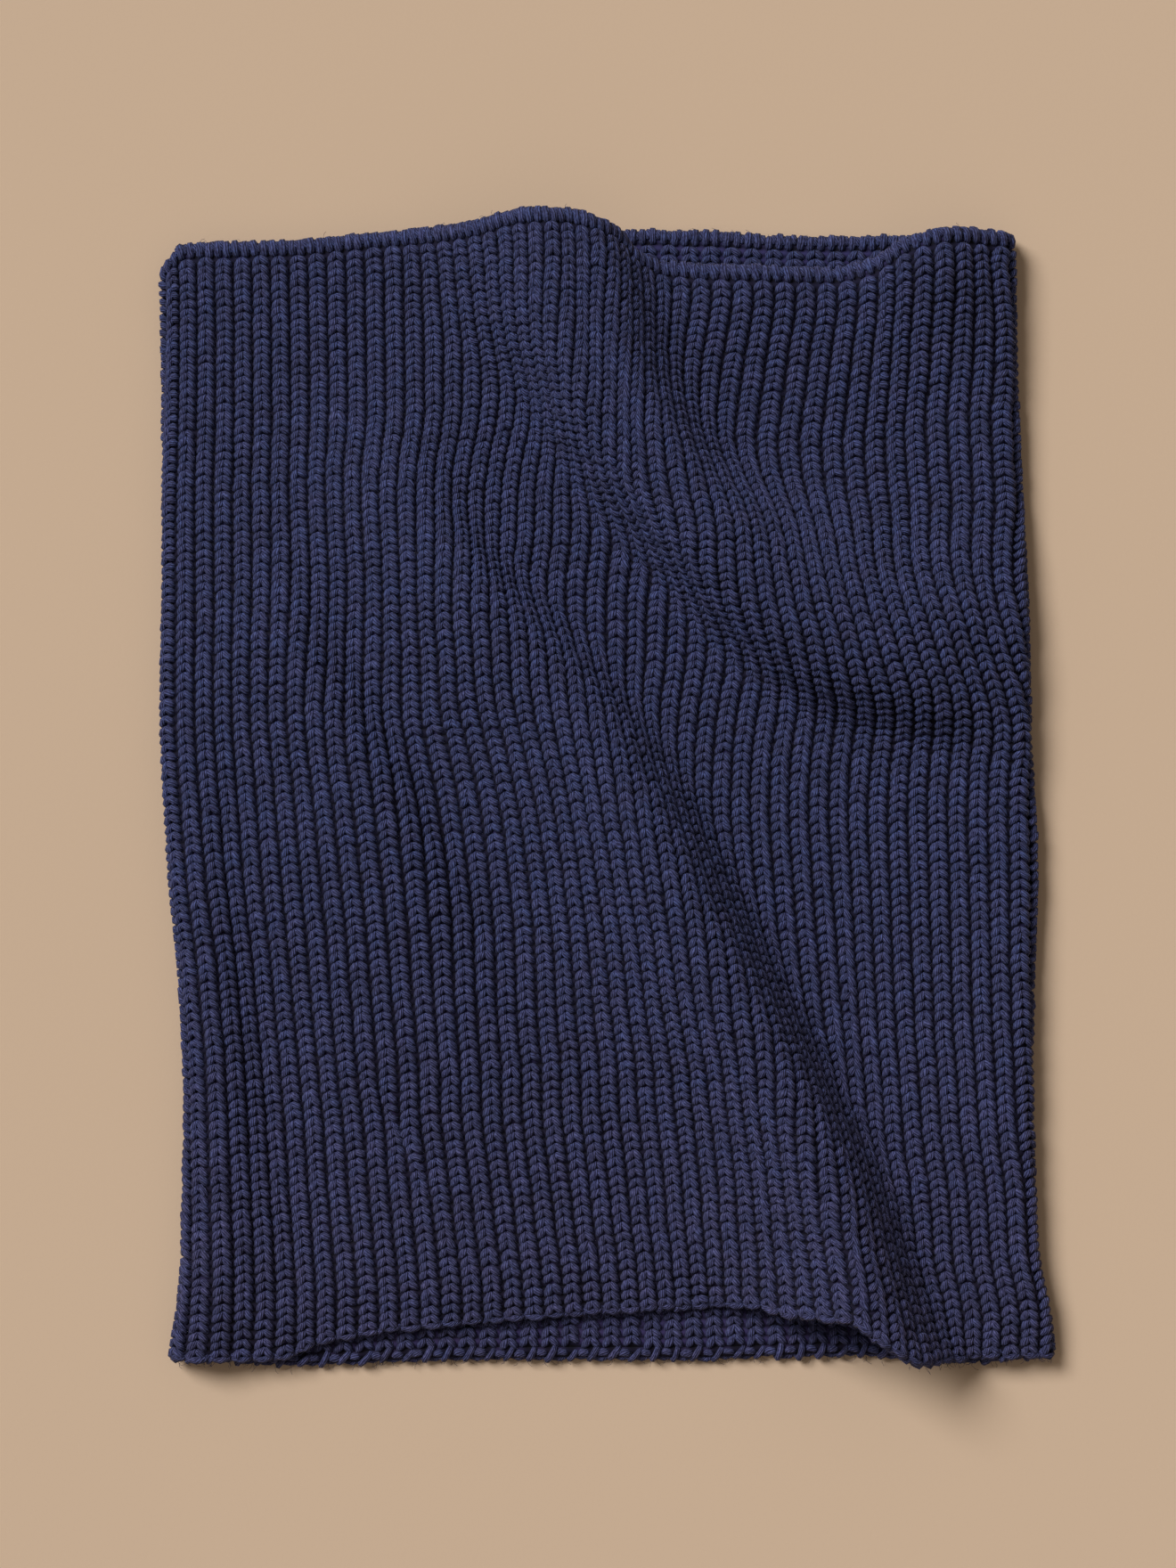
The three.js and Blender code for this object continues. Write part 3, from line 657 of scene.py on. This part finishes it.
stitch = together(yarn("right_leg", RIGHT_LEG, RIGHT_TWIST), yarn("left_leg", LEFT_LEG, LEFT_TWIST))
plain_stitch = yarn("plain_loop", PLAIN_LOOP, LEFT_TWIST, bevel=0)
print("a stitch has", len(stitch["faces"]), "faces, a plain one", len(plain_stitch["faces"]))

# %% [markdown]
# ## Laying stitches on the wall
#
# Each copy of the stitch keeps its own round yarn, whatever the fabric does, because only the yarn's axis
# follows the ribs and courses. The ring around the axis is then added in millimetres. A hand would make
# no two stitches the same, so each copy is moved, swollen and tinted a little by seeded random numbers.

# %% Lay copies of a length of yarn at many ribs and courses
STITCH_WIDTH, STITCH_LENGTH = 5.9, 2.7  # the rib and course that the stitch was modelled for
FLOOR_TOUCH = 0.02  # mm above the floor, where yarn is pressed flat
SPREAD = {  # how uneven a hand is: shares of the stitch, mm, ribs, courses and radians
    "size": 0.05, "lean": 0.10, "height": 0.10, "rib": 0.016, "course": 0.05, "angle": 0.07}
MAP_SHIFT = (7.0, 20.0)  # how far apart two copies may start in the yarn's map, in threads and mm
draw = np.random.default_rng(7)


def lay_copies(name, base, rib, course, height, face=1, wobble=1.0, turn=0.0):
    """A mesh of copies, one at each rib and course, on the outer (1) or inner (-1) face of the wall."""
    count = len(rib)
    axis, off = base["axis"], base["off"]

    def uneven(key, *shape):
        """A random number for each copy."""
        return SPREAD[key] * wobble * draw.standard_normal((count, *shape))

    size, lean, lift = 1 + uneven("size", 1, 1), 1 + uneven("lean", 1), height + uneven("height", 1)
    rib, course = rib[:, None] + uneven("rib", 1), course[:, None] + uneven("course", 1)
    angle = np.broadcast_to(turn, count)[:, None] + uneven("angle", 1)
    cosine, sine = np.cos(angle), np.sin(angle)
    axis_x, axis_y = axis[:, 0] * cosine - axis[:, 1] * sine, axis[:, 0] * sine + axis[:, 1] * cosine
    off_x, off_y = off[:, 0] * cosine - off[:, 1] * sine, off[:, 0] * sine + off[:, 1] * cosine
    rib, course = rib + face * axis_x / STITCH_WIDTH, course - axis_y * lean / STITCH_LENGTH
    point, out, round_way = look_up(rib, course)
    up_way = np.cross(out, round_way)
    out, round_way = out * face, round_way * face
    place = point + out * (lift + axis[:, 2])[..., None] + size * (
        round_way * off_x[..., None] + up_way * off_y[..., None] + out * off[:, 2, None])
    place[..., 2] = np.maximum(place[..., 2], FLOOR_TOUCH)
    shade = np.repeat(draw.random(count), len(axis))
    return mesh_from_arrays(name, place.reshape(-1, 3) * MM, base, count, shade)


def mesh_from_arrays(name, place, base, count, shade):
    """One mesh from many copies of the same faces, with the yarn's own map and a shade for each copy."""
    sizes = np.array([len(face) for face in base["faces"]])
    corners = np.concatenate(base["faces"])
    vertex_count = len(base["axis"])
    mesh = bpy.data.meshes.new(name)
    mesh.vertices.add(count * vertex_count)
    mesh.vertices.foreach_set("co", place.ravel())
    mesh.loops.add(count * len(corners))
    mesh.loops.foreach_set("vertex_index", (corners + vertex_count * np.arange(count)[:, None]).ravel())
    starts = np.concatenate([[0], np.cumsum(sizes)[:-1]])
    mesh.polygons.add(count * len(sizes))
    mesh.polygons.foreach_set("loop_start", (starts + len(corners) * np.arange(count)[:, None]).ravel())
    mesh.polygons.foreach_set("use_smooth", np.ones(count * len(sizes), bool))
    mesh.update(calc_edges=True)
    offset = np.stack([far * draw.random(count) for far in MAP_SHIFT], axis=1)
    yarn_map = mesh.uv_layers.new(name="yarn")
    yarn_map.data.foreach_set("uv", (base["yarn"] + offset[:, None, :]).ravel())
    tint = mesh.attributes.new("shade", "FLOAT", "POINT")
    tint.data.foreach_set("value", shade.astype(np.float32))
    mesh.validate()
    piece = bpy.data.objects.new(name, mesh)
    bpy.context.scene.collection.objects.link(piece)
    print(f"{name}: {count} copies, {sum(len(f.vertices) - 2 for f in mesh.polygons)} triangles")
    return piece


# %% Knit the outer face
STITCH_HEIGHT = 1.05  # from the wall's middle to the legs' own middle
PLAIN_HEIGHT = 0.85
UPPER_PARTS = [  # name, first rib, and the rib after the last
    ("stitches_left", -1, 12),
    ("stitches_middle_left", 12, 25),
    ("stitches_middle_right", 25, 38),
    ("stitches_right", 38, 50),
]
UNDERSIDE_RIBS = (50, 89)
COLUMN_LAG = 0.22  # in courses: how far one rib may lag behind its neighbours
LEVEL_COURSES = 4  # towards both edges the courses come level again over so many
column_shift = COLUMN_LAG * draw.standard_normal(RIBS)


def every_stitch(first_rib, last_rib, first_course=0, last_course=COURSES):
    """The rib and course of each stitch of a field of knitting."""
    ribs, courses = np.meshgrid(np.arange(first_rib, last_rib), np.arange(first_course, last_course) + 0.5)
    inward = np.minimum(courses, COURSES - courses).clip(0, LEVEL_COURSES) / LEVEL_COURSES
    courses = courses + column_shift[ribs % RIBS] * inward
    return ribs.ravel().astype(float), courses.ravel()


knitted = []
for name, first_rib, last_rib in UPPER_PARTS:
    rib, course = every_stitch(first_rib, last_rib)
    knitted.append(lay_copies(name, stitch, rib, course, STITCH_HEIGHT))
rib, course = every_stitch(*UNDERSIDE_RIBS)
knitted.append(lay_copies("stitches_underside", plain_stitch, rib, course, PLAIN_HEIGHT))

# %% [markdown]
# ## The inner face at both mouths
#
# A one-by-one rib looks the same from both sides: where the outside has a furrow, the inside has a rib. Both
# mouths of the tube gape a little, and the inner face of the back layer shows in them. So a few courses are
# knitted on the inner face there too, half a rib further round: whole stitches on the back layer, which the
# camera sees, and plain ones under the front layer.

# %% Knit the inner face where it can be seen
INNER_COURSES = 6
INNER_FIELDS = [  # name, stitch, first rib, last rib
    ("back", stitch, 50, 90),
    ("front", plain_stitch, 0, 50),
]
for side, base, first_rib, last_rib in INNER_FIELDS:
    for mouth, first_course in (("start", 0), ("end", COURSES - 1 - INNER_COURSES)):
        rib, course = every_stitch(first_rib, last_rib, first_course, first_course + INNER_COURSES)
        knitted.append(lay_copies(f"inner_{side}_{mouth}", base, rib - 0.5, course, PLAIN_HEIGHT, face=-1))

# %% [markdown]
# ## The two open edges
#
# The two edges of the tube are made differently, and it shows. At the start, the yarn wraps round the rim
# in upright strands, two to each rib, so the rim looks like a row of small teeth with a groove below it.
# At the end, the last stitches are bound off: a chain of flat links lies along the rim outside, and short
# strands slant over the rim and down the inside, with a bump of yarn beside each. Each kind of strand is
# modelled once and laid along its edge. They start from a line where the courses end, and run past it, so
# the wall is looked up a little beyond its first and last course.

# %% Model the strands of the edges
START_STRAND = [  # from the groove outside, over the rim, to the groove inside
    (0, 0.75, 0.2, 0.9), (0, 1.55, 1.05, 1.25), (0, 3.0, 1.15, 1.42), (0, 4.35, 0.85, 1.42),
    (0, 4.75, 0, 1.42),
    (0, 4.35, -0.85, 1.42), (0, 3.0, -1.1, 1.35), (0, 1.7, -1.05, 1.2), (0, 0.9, -0.3, 0.85)]
START_FILLER = [
    (0, 2.6, 0.8, 1.1), (0, 4.15, 0.75, 1.2), (0, 4.7, 0, 1.2), (0, 4.15, -0.75, 1.2), (0, 2.6, -0.8, 1.1)]
END_LINK = [
    (-2.6, 1.5, 0.1, 0.8), (-1.8, 0.3, 0.95, 1.05), (0.1, -0.35, 1.1, 1.12),
    (2.0, 0.0, 1.0, 1.0), (3.2, 1.1, 0.1, 0.75)]
END_STRAND = [
    (-1.5, 0.0, -1.0, 0.8), (-1.0, -0.75, 0.1, 1.05), (-0.2, 0.1, 1.15, 1.05),
    (0.9, 1.7, 1.3, 1.0), (1.6, 3.1, 0.3, 0.8)]
END_BUMP = [(-1.5, 0.4, -0.1, 0.9), (-0.6, 0.7, 0.75, 1.15), (0.5, 0.6, 0.75, 1.15), (1.3, 0.2, -0.1, 0.9)]
start_strand = yarn("start_strand", START_STRAND, RIGHT_TWIST)
start_filler = yarn("start_filler", START_FILLER, LEFT_TWIST)
end_link = yarn("end_link", END_LINK, LEFT_TWIST)
end_strand = yarn("end_strand", END_STRAND, RIGHT_TWIST)
end_bump = yarn("end_bump", END_BUMP, LEFT_TWIST)

# %% Lay them along the edges
EDGES = [  # name, strand, strands for each rib, first rib, course, height, face, wobble, turn
    ("start_edge", start_strand, 2, 0.25, 0.0, 0.0, 1, 0.5, 0.1),
    ("start_edge_filler", start_filler, 2, 0.5, 0.0, 0.0, 1, 0.5, 0.1),
    ("end_edge_chain", end_link, 1, 0.0, COURSES + 0.05, 0.0, 1, 1.6, 0.0),
    ("end_edge_strands", end_strand, 1, 0.4, COURSES + 0.0, 0.0, -1, 1.6, 0.0),
    ("end_edge_bumps", end_bump, 1, 0.85, COURSES - 0.2, 0.3, -1, 1.6, 0.0),
]
for name, strand, in_rib, first_rib, course, height, face, wobble, turn in EDGES:
    rib = np.arange(in_rib * RIBS) / in_rib + first_rib
    knitted.append(lay_copies(name, strand, rib, np.full(len(rib), course), height, face, wobble, turn))

# %% [markdown]
# ## Loose fibres
#
# Wool is never clean cut. Fine fibres stand off the yarn, most of them along the bound-off edge and the
# outline, where they show against the floor. A fibre is a very thin closed thread of four sides. A few
# bent shapes are modelled. On top they are turned every way as they are laid, and at the two edges they
# point outward.

# %% Model and scatter the fibres
HAIR = 0.05  # radius in mm
HAIR_SHAPES = [
    [(0, 0, -0.3, HAIR), (0.5, 0.7, 0.35, HAIR), (0.3, 1.6, 0.7, HAIR), (-0.4, 2.2, 0.5, HAIR)],
    [(0, 0, -0.3, HAIR), (-0.3, 0.9, 0.5, HAIR), (0.4, 1.9, 0.6, HAIR), (1.3, 2.3, 0.3, HAIR)],
    [(0, 0, -0.2, HAIR), (0.1, 0.6, 0.2, HAIR), (0.5, 1.1, 0.3, HAIR), (0.3, 1.7, 0.2, HAIR)],
]
HAIR_FIELDS = [  # name, how many, ribs from, to, courses from, to, height, turn, how much it varies
    ("hairs_on_top", 260, -0.5, 50.5, 2, 122, 2.1, 0, 3.0),
    ("hairs_left", 60, -1.2, 0.2, 0, 124, 1.8, 0, 3.0),
    ("hairs_right", 60, 49.6, 51.0, 0, 124, 1.8, 0, 3.0),
    ("hairs_start", 70, -1, 89, -1.9, -1.4, 0.4, 0, 0.7),
    ("hairs_end", 420, -1, 89, 124.9, 125.4, 0.2, np.pi, 0.7),
]
hair_bases = [yarn(f"hair_{k}", shape, 0.0, bevel=0, tip=0.02) for k, shape in enumerate(HAIR_SHAPES)]
single_hairs = []
for name, many, rib_from, rib_to, course_from, course_to, height, turn, turn_spread in HAIR_FIELDS:
    for k, base in enumerate(hair_bases):
        count = many // len(hair_bases)
        rib, course = draw.uniform(rib_from, rib_to, count), draw.uniform(course_from, course_to, count)
        turns = turn + turn_spread * draw.standard_normal(count)
        single_hairs.append(lay_copies(f"{name}_{k}", base, rib, course, height, turn=turns))
deselect_all()
for piece in single_hairs:
    piece.select_set(True)
hairs = single_hairs[0]
bpy.context.view_layer.objects.active = hairs
bpy.ops.object.join()
hairs.name = hairs.data.name = "loose_fibres"
print("loose fibres:", len(hairs.data.polygons), "faces")

# %% [markdown]
# ## The wool
#
# Navy wool is not one blue. The thread tops catch the light, the lines between the threads stay dark, one
# stitch took the dye a little better than the next, and loose fibres give the whole a soft bloom. The
# bloom is the shader's sheen. The rest is made by two node groups: one draws the threads from the yarn's
# own map, and one shifts the tone from stitch to stitch and from place to place, a little warmer towards
# the bound-off edge. The light on the thread tops and the shade between the threads are painted into the
# colour from the first group's mask.

# %% Helpers for node groups
def new_group(name, inputs, outputs):
    """A shader node group with named sockets, and its two end nodes."""
    tree = bpy.data.node_groups.new(name, "ShaderNodeTree")
    for socket, kind, value in inputs:
        tree.interface.new_socket(socket, in_out="INPUT", socket_type=kind).default_value = value
    for socket, kind in outputs:
        tree.interface.new_socket(socket, in_out="OUTPUT", socket_type=kind)
    return tree, tree.nodes.new("NodeGroupInput").outputs, tree.nodes.new("NodeGroupOutput").inputs


def calculate(tree, operation, first, second=0.0, clamp=False):
    """A math node's result. Each side is a socket or a number."""
    node = add_node(tree, "ShaderNodeMath", operation=operation, use_clamp=clamp)
    for socket, value in zip(node.inputs, (first, second)):
        if isinstance(value, bpy.types.NodeSocket):
            tree.links.new(value, socket)
        else:
            socket.default_value = value
    return node.outputs[0]


def times(tree, first, second, clamp=False):
    """One mask times another, or times a number."""
    return calculate(tree, "MULTIPLY", first, second, clamp)


def plus(tree, first, second, clamp=False):
    """One mask and another, or a number, added up."""
    return calculate(tree, "ADD", first, second, clamp)


def off_middle(tree, mask, middle, gain):
    """How far a mask is from its middle value, made stronger or weaker."""
    return times(tree, calculate(tree, "SUBTRACT", mask, middle), gain)


def waves(tree, place, many, kind="SINE"):
    """Round ridges, so many to each unit of place."""
    return calculate(tree, "ABSOLUTE", calculate(tree, kind, times(tree, place, math.pi * many)))


def place_from(tree, *parts):
    """A place from three masks."""
    node = add_node(tree, "ShaderNodeCombineXYZ")
    for socket, part in zip(node.inputs, parts):
        tree.links.new(part, socket)
    return node.outputs[0]


def noise_at(tree, place, scale, detail=2.0):
    """A noise mask at a place."""
    node = add_node(tree, "ShaderNodeTexNoise", Scale=scale, Detail=detail)
    tree.links.new(place, node.inputs["Vector"])
    return node.outputs["Fac"]


# %% The threads of the yarn
THREAD_FIBRES = 1.4  # fibres that can be told apart across one thread
FIBRE_LENGTH = 1.3  # how quickly a fibre changes along the yarn, in turns for each mm
THREAD_SWAY = 1.5  # how far a thread strays from its even twist, in threads
SWAY_RATE = 0.45  # how quickly it strays, round the yarn and along it
SWAY_JUMP, FIBRE_JUMP = 30.0, 40.0  # so that no two stitches have the same noise
THREAD_RISE, FIBRE_RISE = 0.75, 0.5  # shares of the two in the relief

threads, given, result = new_group(
    "yarn_threads", [("Yarn", "NodeSocketVector", (0, 0, 0)), ("Shade", "NodeSocketFloat", 0.5)],
    [("Height", "NodeSocketFloat"), ("Thread", "NodeSocketFloat"), ("Fibre", "NodeSocketFloat")])
split = add_node(threads, "ShaderNodeSeparateXYZ")
threads.links.new(given["Yarn"], split.inputs[0])
yarn_round, yarn_along = split.outputs["X"], split.outputs["Y"]
sway_place = place_from(threads, times(threads, yarn_round, SWAY_RATE), times(threads, yarn_along, SWAY_RATE),
                        times(threads, given["Shade"], SWAY_JUMP))
turned = plus(threads, yarn_round, times(threads, noise_at(threads, sway_place, 1.0, 1.0), THREAD_SWAY))
thread = waves(threads, turned, 1)
fibre_place = place_from(threads, times(threads, turned, THREAD_FIBRES),
                         times(threads, yarn_along, FIBRE_LENGTH), times(threads, given["Shade"], FIBRE_JUMP))
fibre = noise_at(threads, fibre_place, 1.0, 3.0)
height = plus(threads, times(threads, thread, THREAD_RISE), times(threads, fibre, FIBRE_RISE))
for name, mask in (("Height", height), ("Thread", thread), ("Fibre", fibre)):
    threads.links.new(mask, result[name])

# %% The uneven dye
WARMER_BELOW, WARMER_OVER = -0.02, 0.125  # in metres along the tube
WARMER_SHARE = 0.45
SPECKLE_SCALE, SPECKLE_GAIN, SPECKLE_START = 190.0, 1.4, -0.45
PATCH_SCALE, PATCH_TONE = 14.0, 0.16
STITCH_TONE = 0.26

dye, given, result = new_group(
    "uneven_dye",
    [("Place", "NodeSocketVector", (0, 0, 0)), ("Shade", "NodeSocketFloat", 0.5),
     ("Cool", "NodeSocketColor", (0, 0, 0, 1)), ("Warm", "NodeSocketColor", (0, 0, 0, 1))],
    [("Colour", "NodeSocketColor"), ("Strength", "NodeSocketFloat")])
split = add_node(dye, "ShaderNodeSeparateXYZ")
dye.links.new(given["Place"], split.inputs[0])
lower = times(dye, plus(dye, split.outputs["Y"], -WARMER_BELOW), -1 / WARMER_OVER, clamp=True)
speckle = plus(dye, times(dye, noise_at(dye, given["Place"], SPECKLE_SCALE), SPECKLE_GAIN), SPECKLE_START)
hue = plus(dye, speckle, times(dye, lower, WARMER_SHARE), clamp=True)
dye.links.new(mix_colours(dye, hue, given["Cool"], given["Warm"]), result["Colour"])
patch_tone = off_middle(dye, noise_at(dye, given["Place"], PATCH_SCALE), 0.5, PATCH_TONE)
stitch_tone = off_middle(dye, given["Shade"], 0.5, STITCH_TONE)
dye.links.new(plus(dye, plus(dye, patch_tone, stitch_tone), 1.0), result["Strength"])
print("node groups:", [group.name for group in bpy.data.node_groups])

# %% Mix the wool material
# The deep navy below is painted shade between the threads.
NAVY_COOL = (0.050, 0.073, 0.208)
NAVY_WARM = (0.080, 0.077, 0.186)
NAVY_PAINTED_GROOVE_SHADE = (0.0105, 0.0105, 0.046)  # between the threads
THREAD_PAINTED_LIGHT_SHARE = 0.75
FIBRE_MIDDLE, FIBRE_GAIN = 0.53, 2.8
THREAD_DEPTH = 0.0004
WOOL_FINISH = {
    "Roughness": 0.8, "Specular_IOR_Level": 0.3,
    "Sheen_Weight": 0.06, "Sheen_Roughness": 0.5, "Sheen_Tint": (0.45, 0.50, 0.85, 1),
}


def scale_colour(tree, colour, amount):
    """A colour made lighter or darker by a mask."""
    node = add_node(tree, "ShaderNodeVectorMath", operation="SCALE")
    tree.links.new(colour, node.inputs[0])
    tree.links.new(amount, node.inputs["Scale"])
    return node.outputs[0]


def relief(tree, height, depth, shader):
    """Bumps on a shader from a mask, so many metres deep."""
    node = add_node(tree, "ShaderNodeBump", Strength=1.0, Distance=depth)
    tree.links.new(height, node.inputs["Height"])
    tree.links.new(node.outputs["Normal"], shader.inputs["Normal"])


def dyed(tree, cool, warm):
    """The node of the uneven dye, at the material's own place."""
    node = add_node(tree, "ShaderNodeGroup", node_tree=dye, Cool=(*cool, 1), Warm=(*warm, 1))
    place = add_node(tree, "ShaderNodeTexCoord")
    tree.links.new(place.outputs["Object"], node.inputs["Place"])
    return node


plied_wool, shader = new_material("plied_navy_wool")
tree = plied_wool.node_tree
yarn_map = add_node(tree, "ShaderNodeUVMap", uv_map="yarn")
shade = add_node(tree, "ShaderNodeAttribute", attribute_name="shade")
thread_node = add_node(tree, "ShaderNodeGroup", node_tree=threads)
dye_node = dyed(tree, NAVY_COOL, NAVY_WARM)
tree.links.new(yarn_map.outputs["UV"], thread_node.inputs["Yarn"])
for node in (thread_node, dye_node):
    tree.links.new(shade.outputs["Fac"], node.inputs["Shade"])
# Painted light and shade: the thread tops get the dyed colour and the lines between them the deep navy. The
# fibre streaks in this mask are partly the random tone of single fibres and partly painted highlight.
painted_light_mask = plus(tree, times(tree, thread_node.outputs["Thread"], THREAD_PAINTED_LIGHT_SHARE),
           off_middle(tree, thread_node.outputs["Fibre"], FIBRE_MIDDLE, FIBRE_GAIN), clamp=True)
colour = mix_colours(tree, painted_light_mask, NAVY_PAINTED_GROOVE_SHADE, dye_node.outputs["Colour"])
tree.links.new(scale_colour(tree, colour, dye_node.outputs["Strength"]), shader.inputs["Base Color"])
relief(tree, thread_node.outputs["Height"], THREAD_DEPTH, shader)
set_finish(shader, **WOOL_FINISH)
for piece in [*knitted, hairs]:
    piece.data.materials.append(plied_wool)

# %% [markdown]
# ## The wool between the ribs
#
# What shows between two ribs is the back of the fabric: short bars of yarn that run round the tube, one
# for each course, deep in shadow. The wall keeps the flat map of its grid, so its material draws the bars
# from that map. Their shade is painted: a deeper navy than the yarn, darker between the bars and darkest
# in the furrows.

# %% The deep material of the wall, with painted shade
# The wall's colours, and the lightness left between its bars and in its furrows, are painted shade.
WALL_PAINTED_SHADE_COOL = (0.012, 0.012, 0.046)
WALL_PAINTED_SHADE_WARM = (0.017, 0.012, 0.040)
BAR_GAP_PAINTED_SHADE, FURROW_PAINTED_SHADE = 0.5, 0.3  # what is left between two bars, and in a furrow
RIB_SHARPNESS = 3.0
BAR_DEPTH = 0.0005

painted_shade_wall_wool, shader = new_material("navy_wool_painted_shade")
tree = painted_shade_wall_wool.node_tree
flat_map = add_node(tree, "ShaderNodeUVMap", uv_map=knit_wall.data.uv_layers[0].name)
split = add_node(tree, "ShaderNodeSeparateXYZ")
tree.links.new(flat_map.outputs["UV"], split.inputs[0])
bars_bump_and_painted_shade = waves(tree, split.outputs["Y"], COURSES)
painted_rib_light = calculate(tree, "POWER", waves(tree, split.outputs["X"], RIBS, "COSINE"), RIB_SHARPNESS)
painted_shade_lightness = times(tree, plus(tree, bars_bump_and_painted_shade, BAR_GAP_PAINTED_SHADE), plus(tree, painted_rib_light, FURROW_PAINTED_SHADE))
colour = dyed(tree, WALL_PAINTED_SHADE_COOL, WALL_PAINTED_SHADE_WARM).outputs["Colour"]
tree.links.new(scale_colour(tree, colour, painted_shade_lightness), shader.inputs["Base Color"])
relief(tree, bars_bump_and_painted_shade, BAR_DEPTH, shader)
set_finish(shader, Roughness=0.9, Specular_IOR_Level=0.2)
knit_wall.data.materials.append(painted_shade_wall_wool)
print("materials:", [material.name for material in bpy.data.materials])

# %% Attach the pieces to the tube's body, and hide the solid
pieces = [knit_wall, *knitted, hairs]
for piece in pieces:
    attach(piece, "root")
    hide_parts("knit_tube")
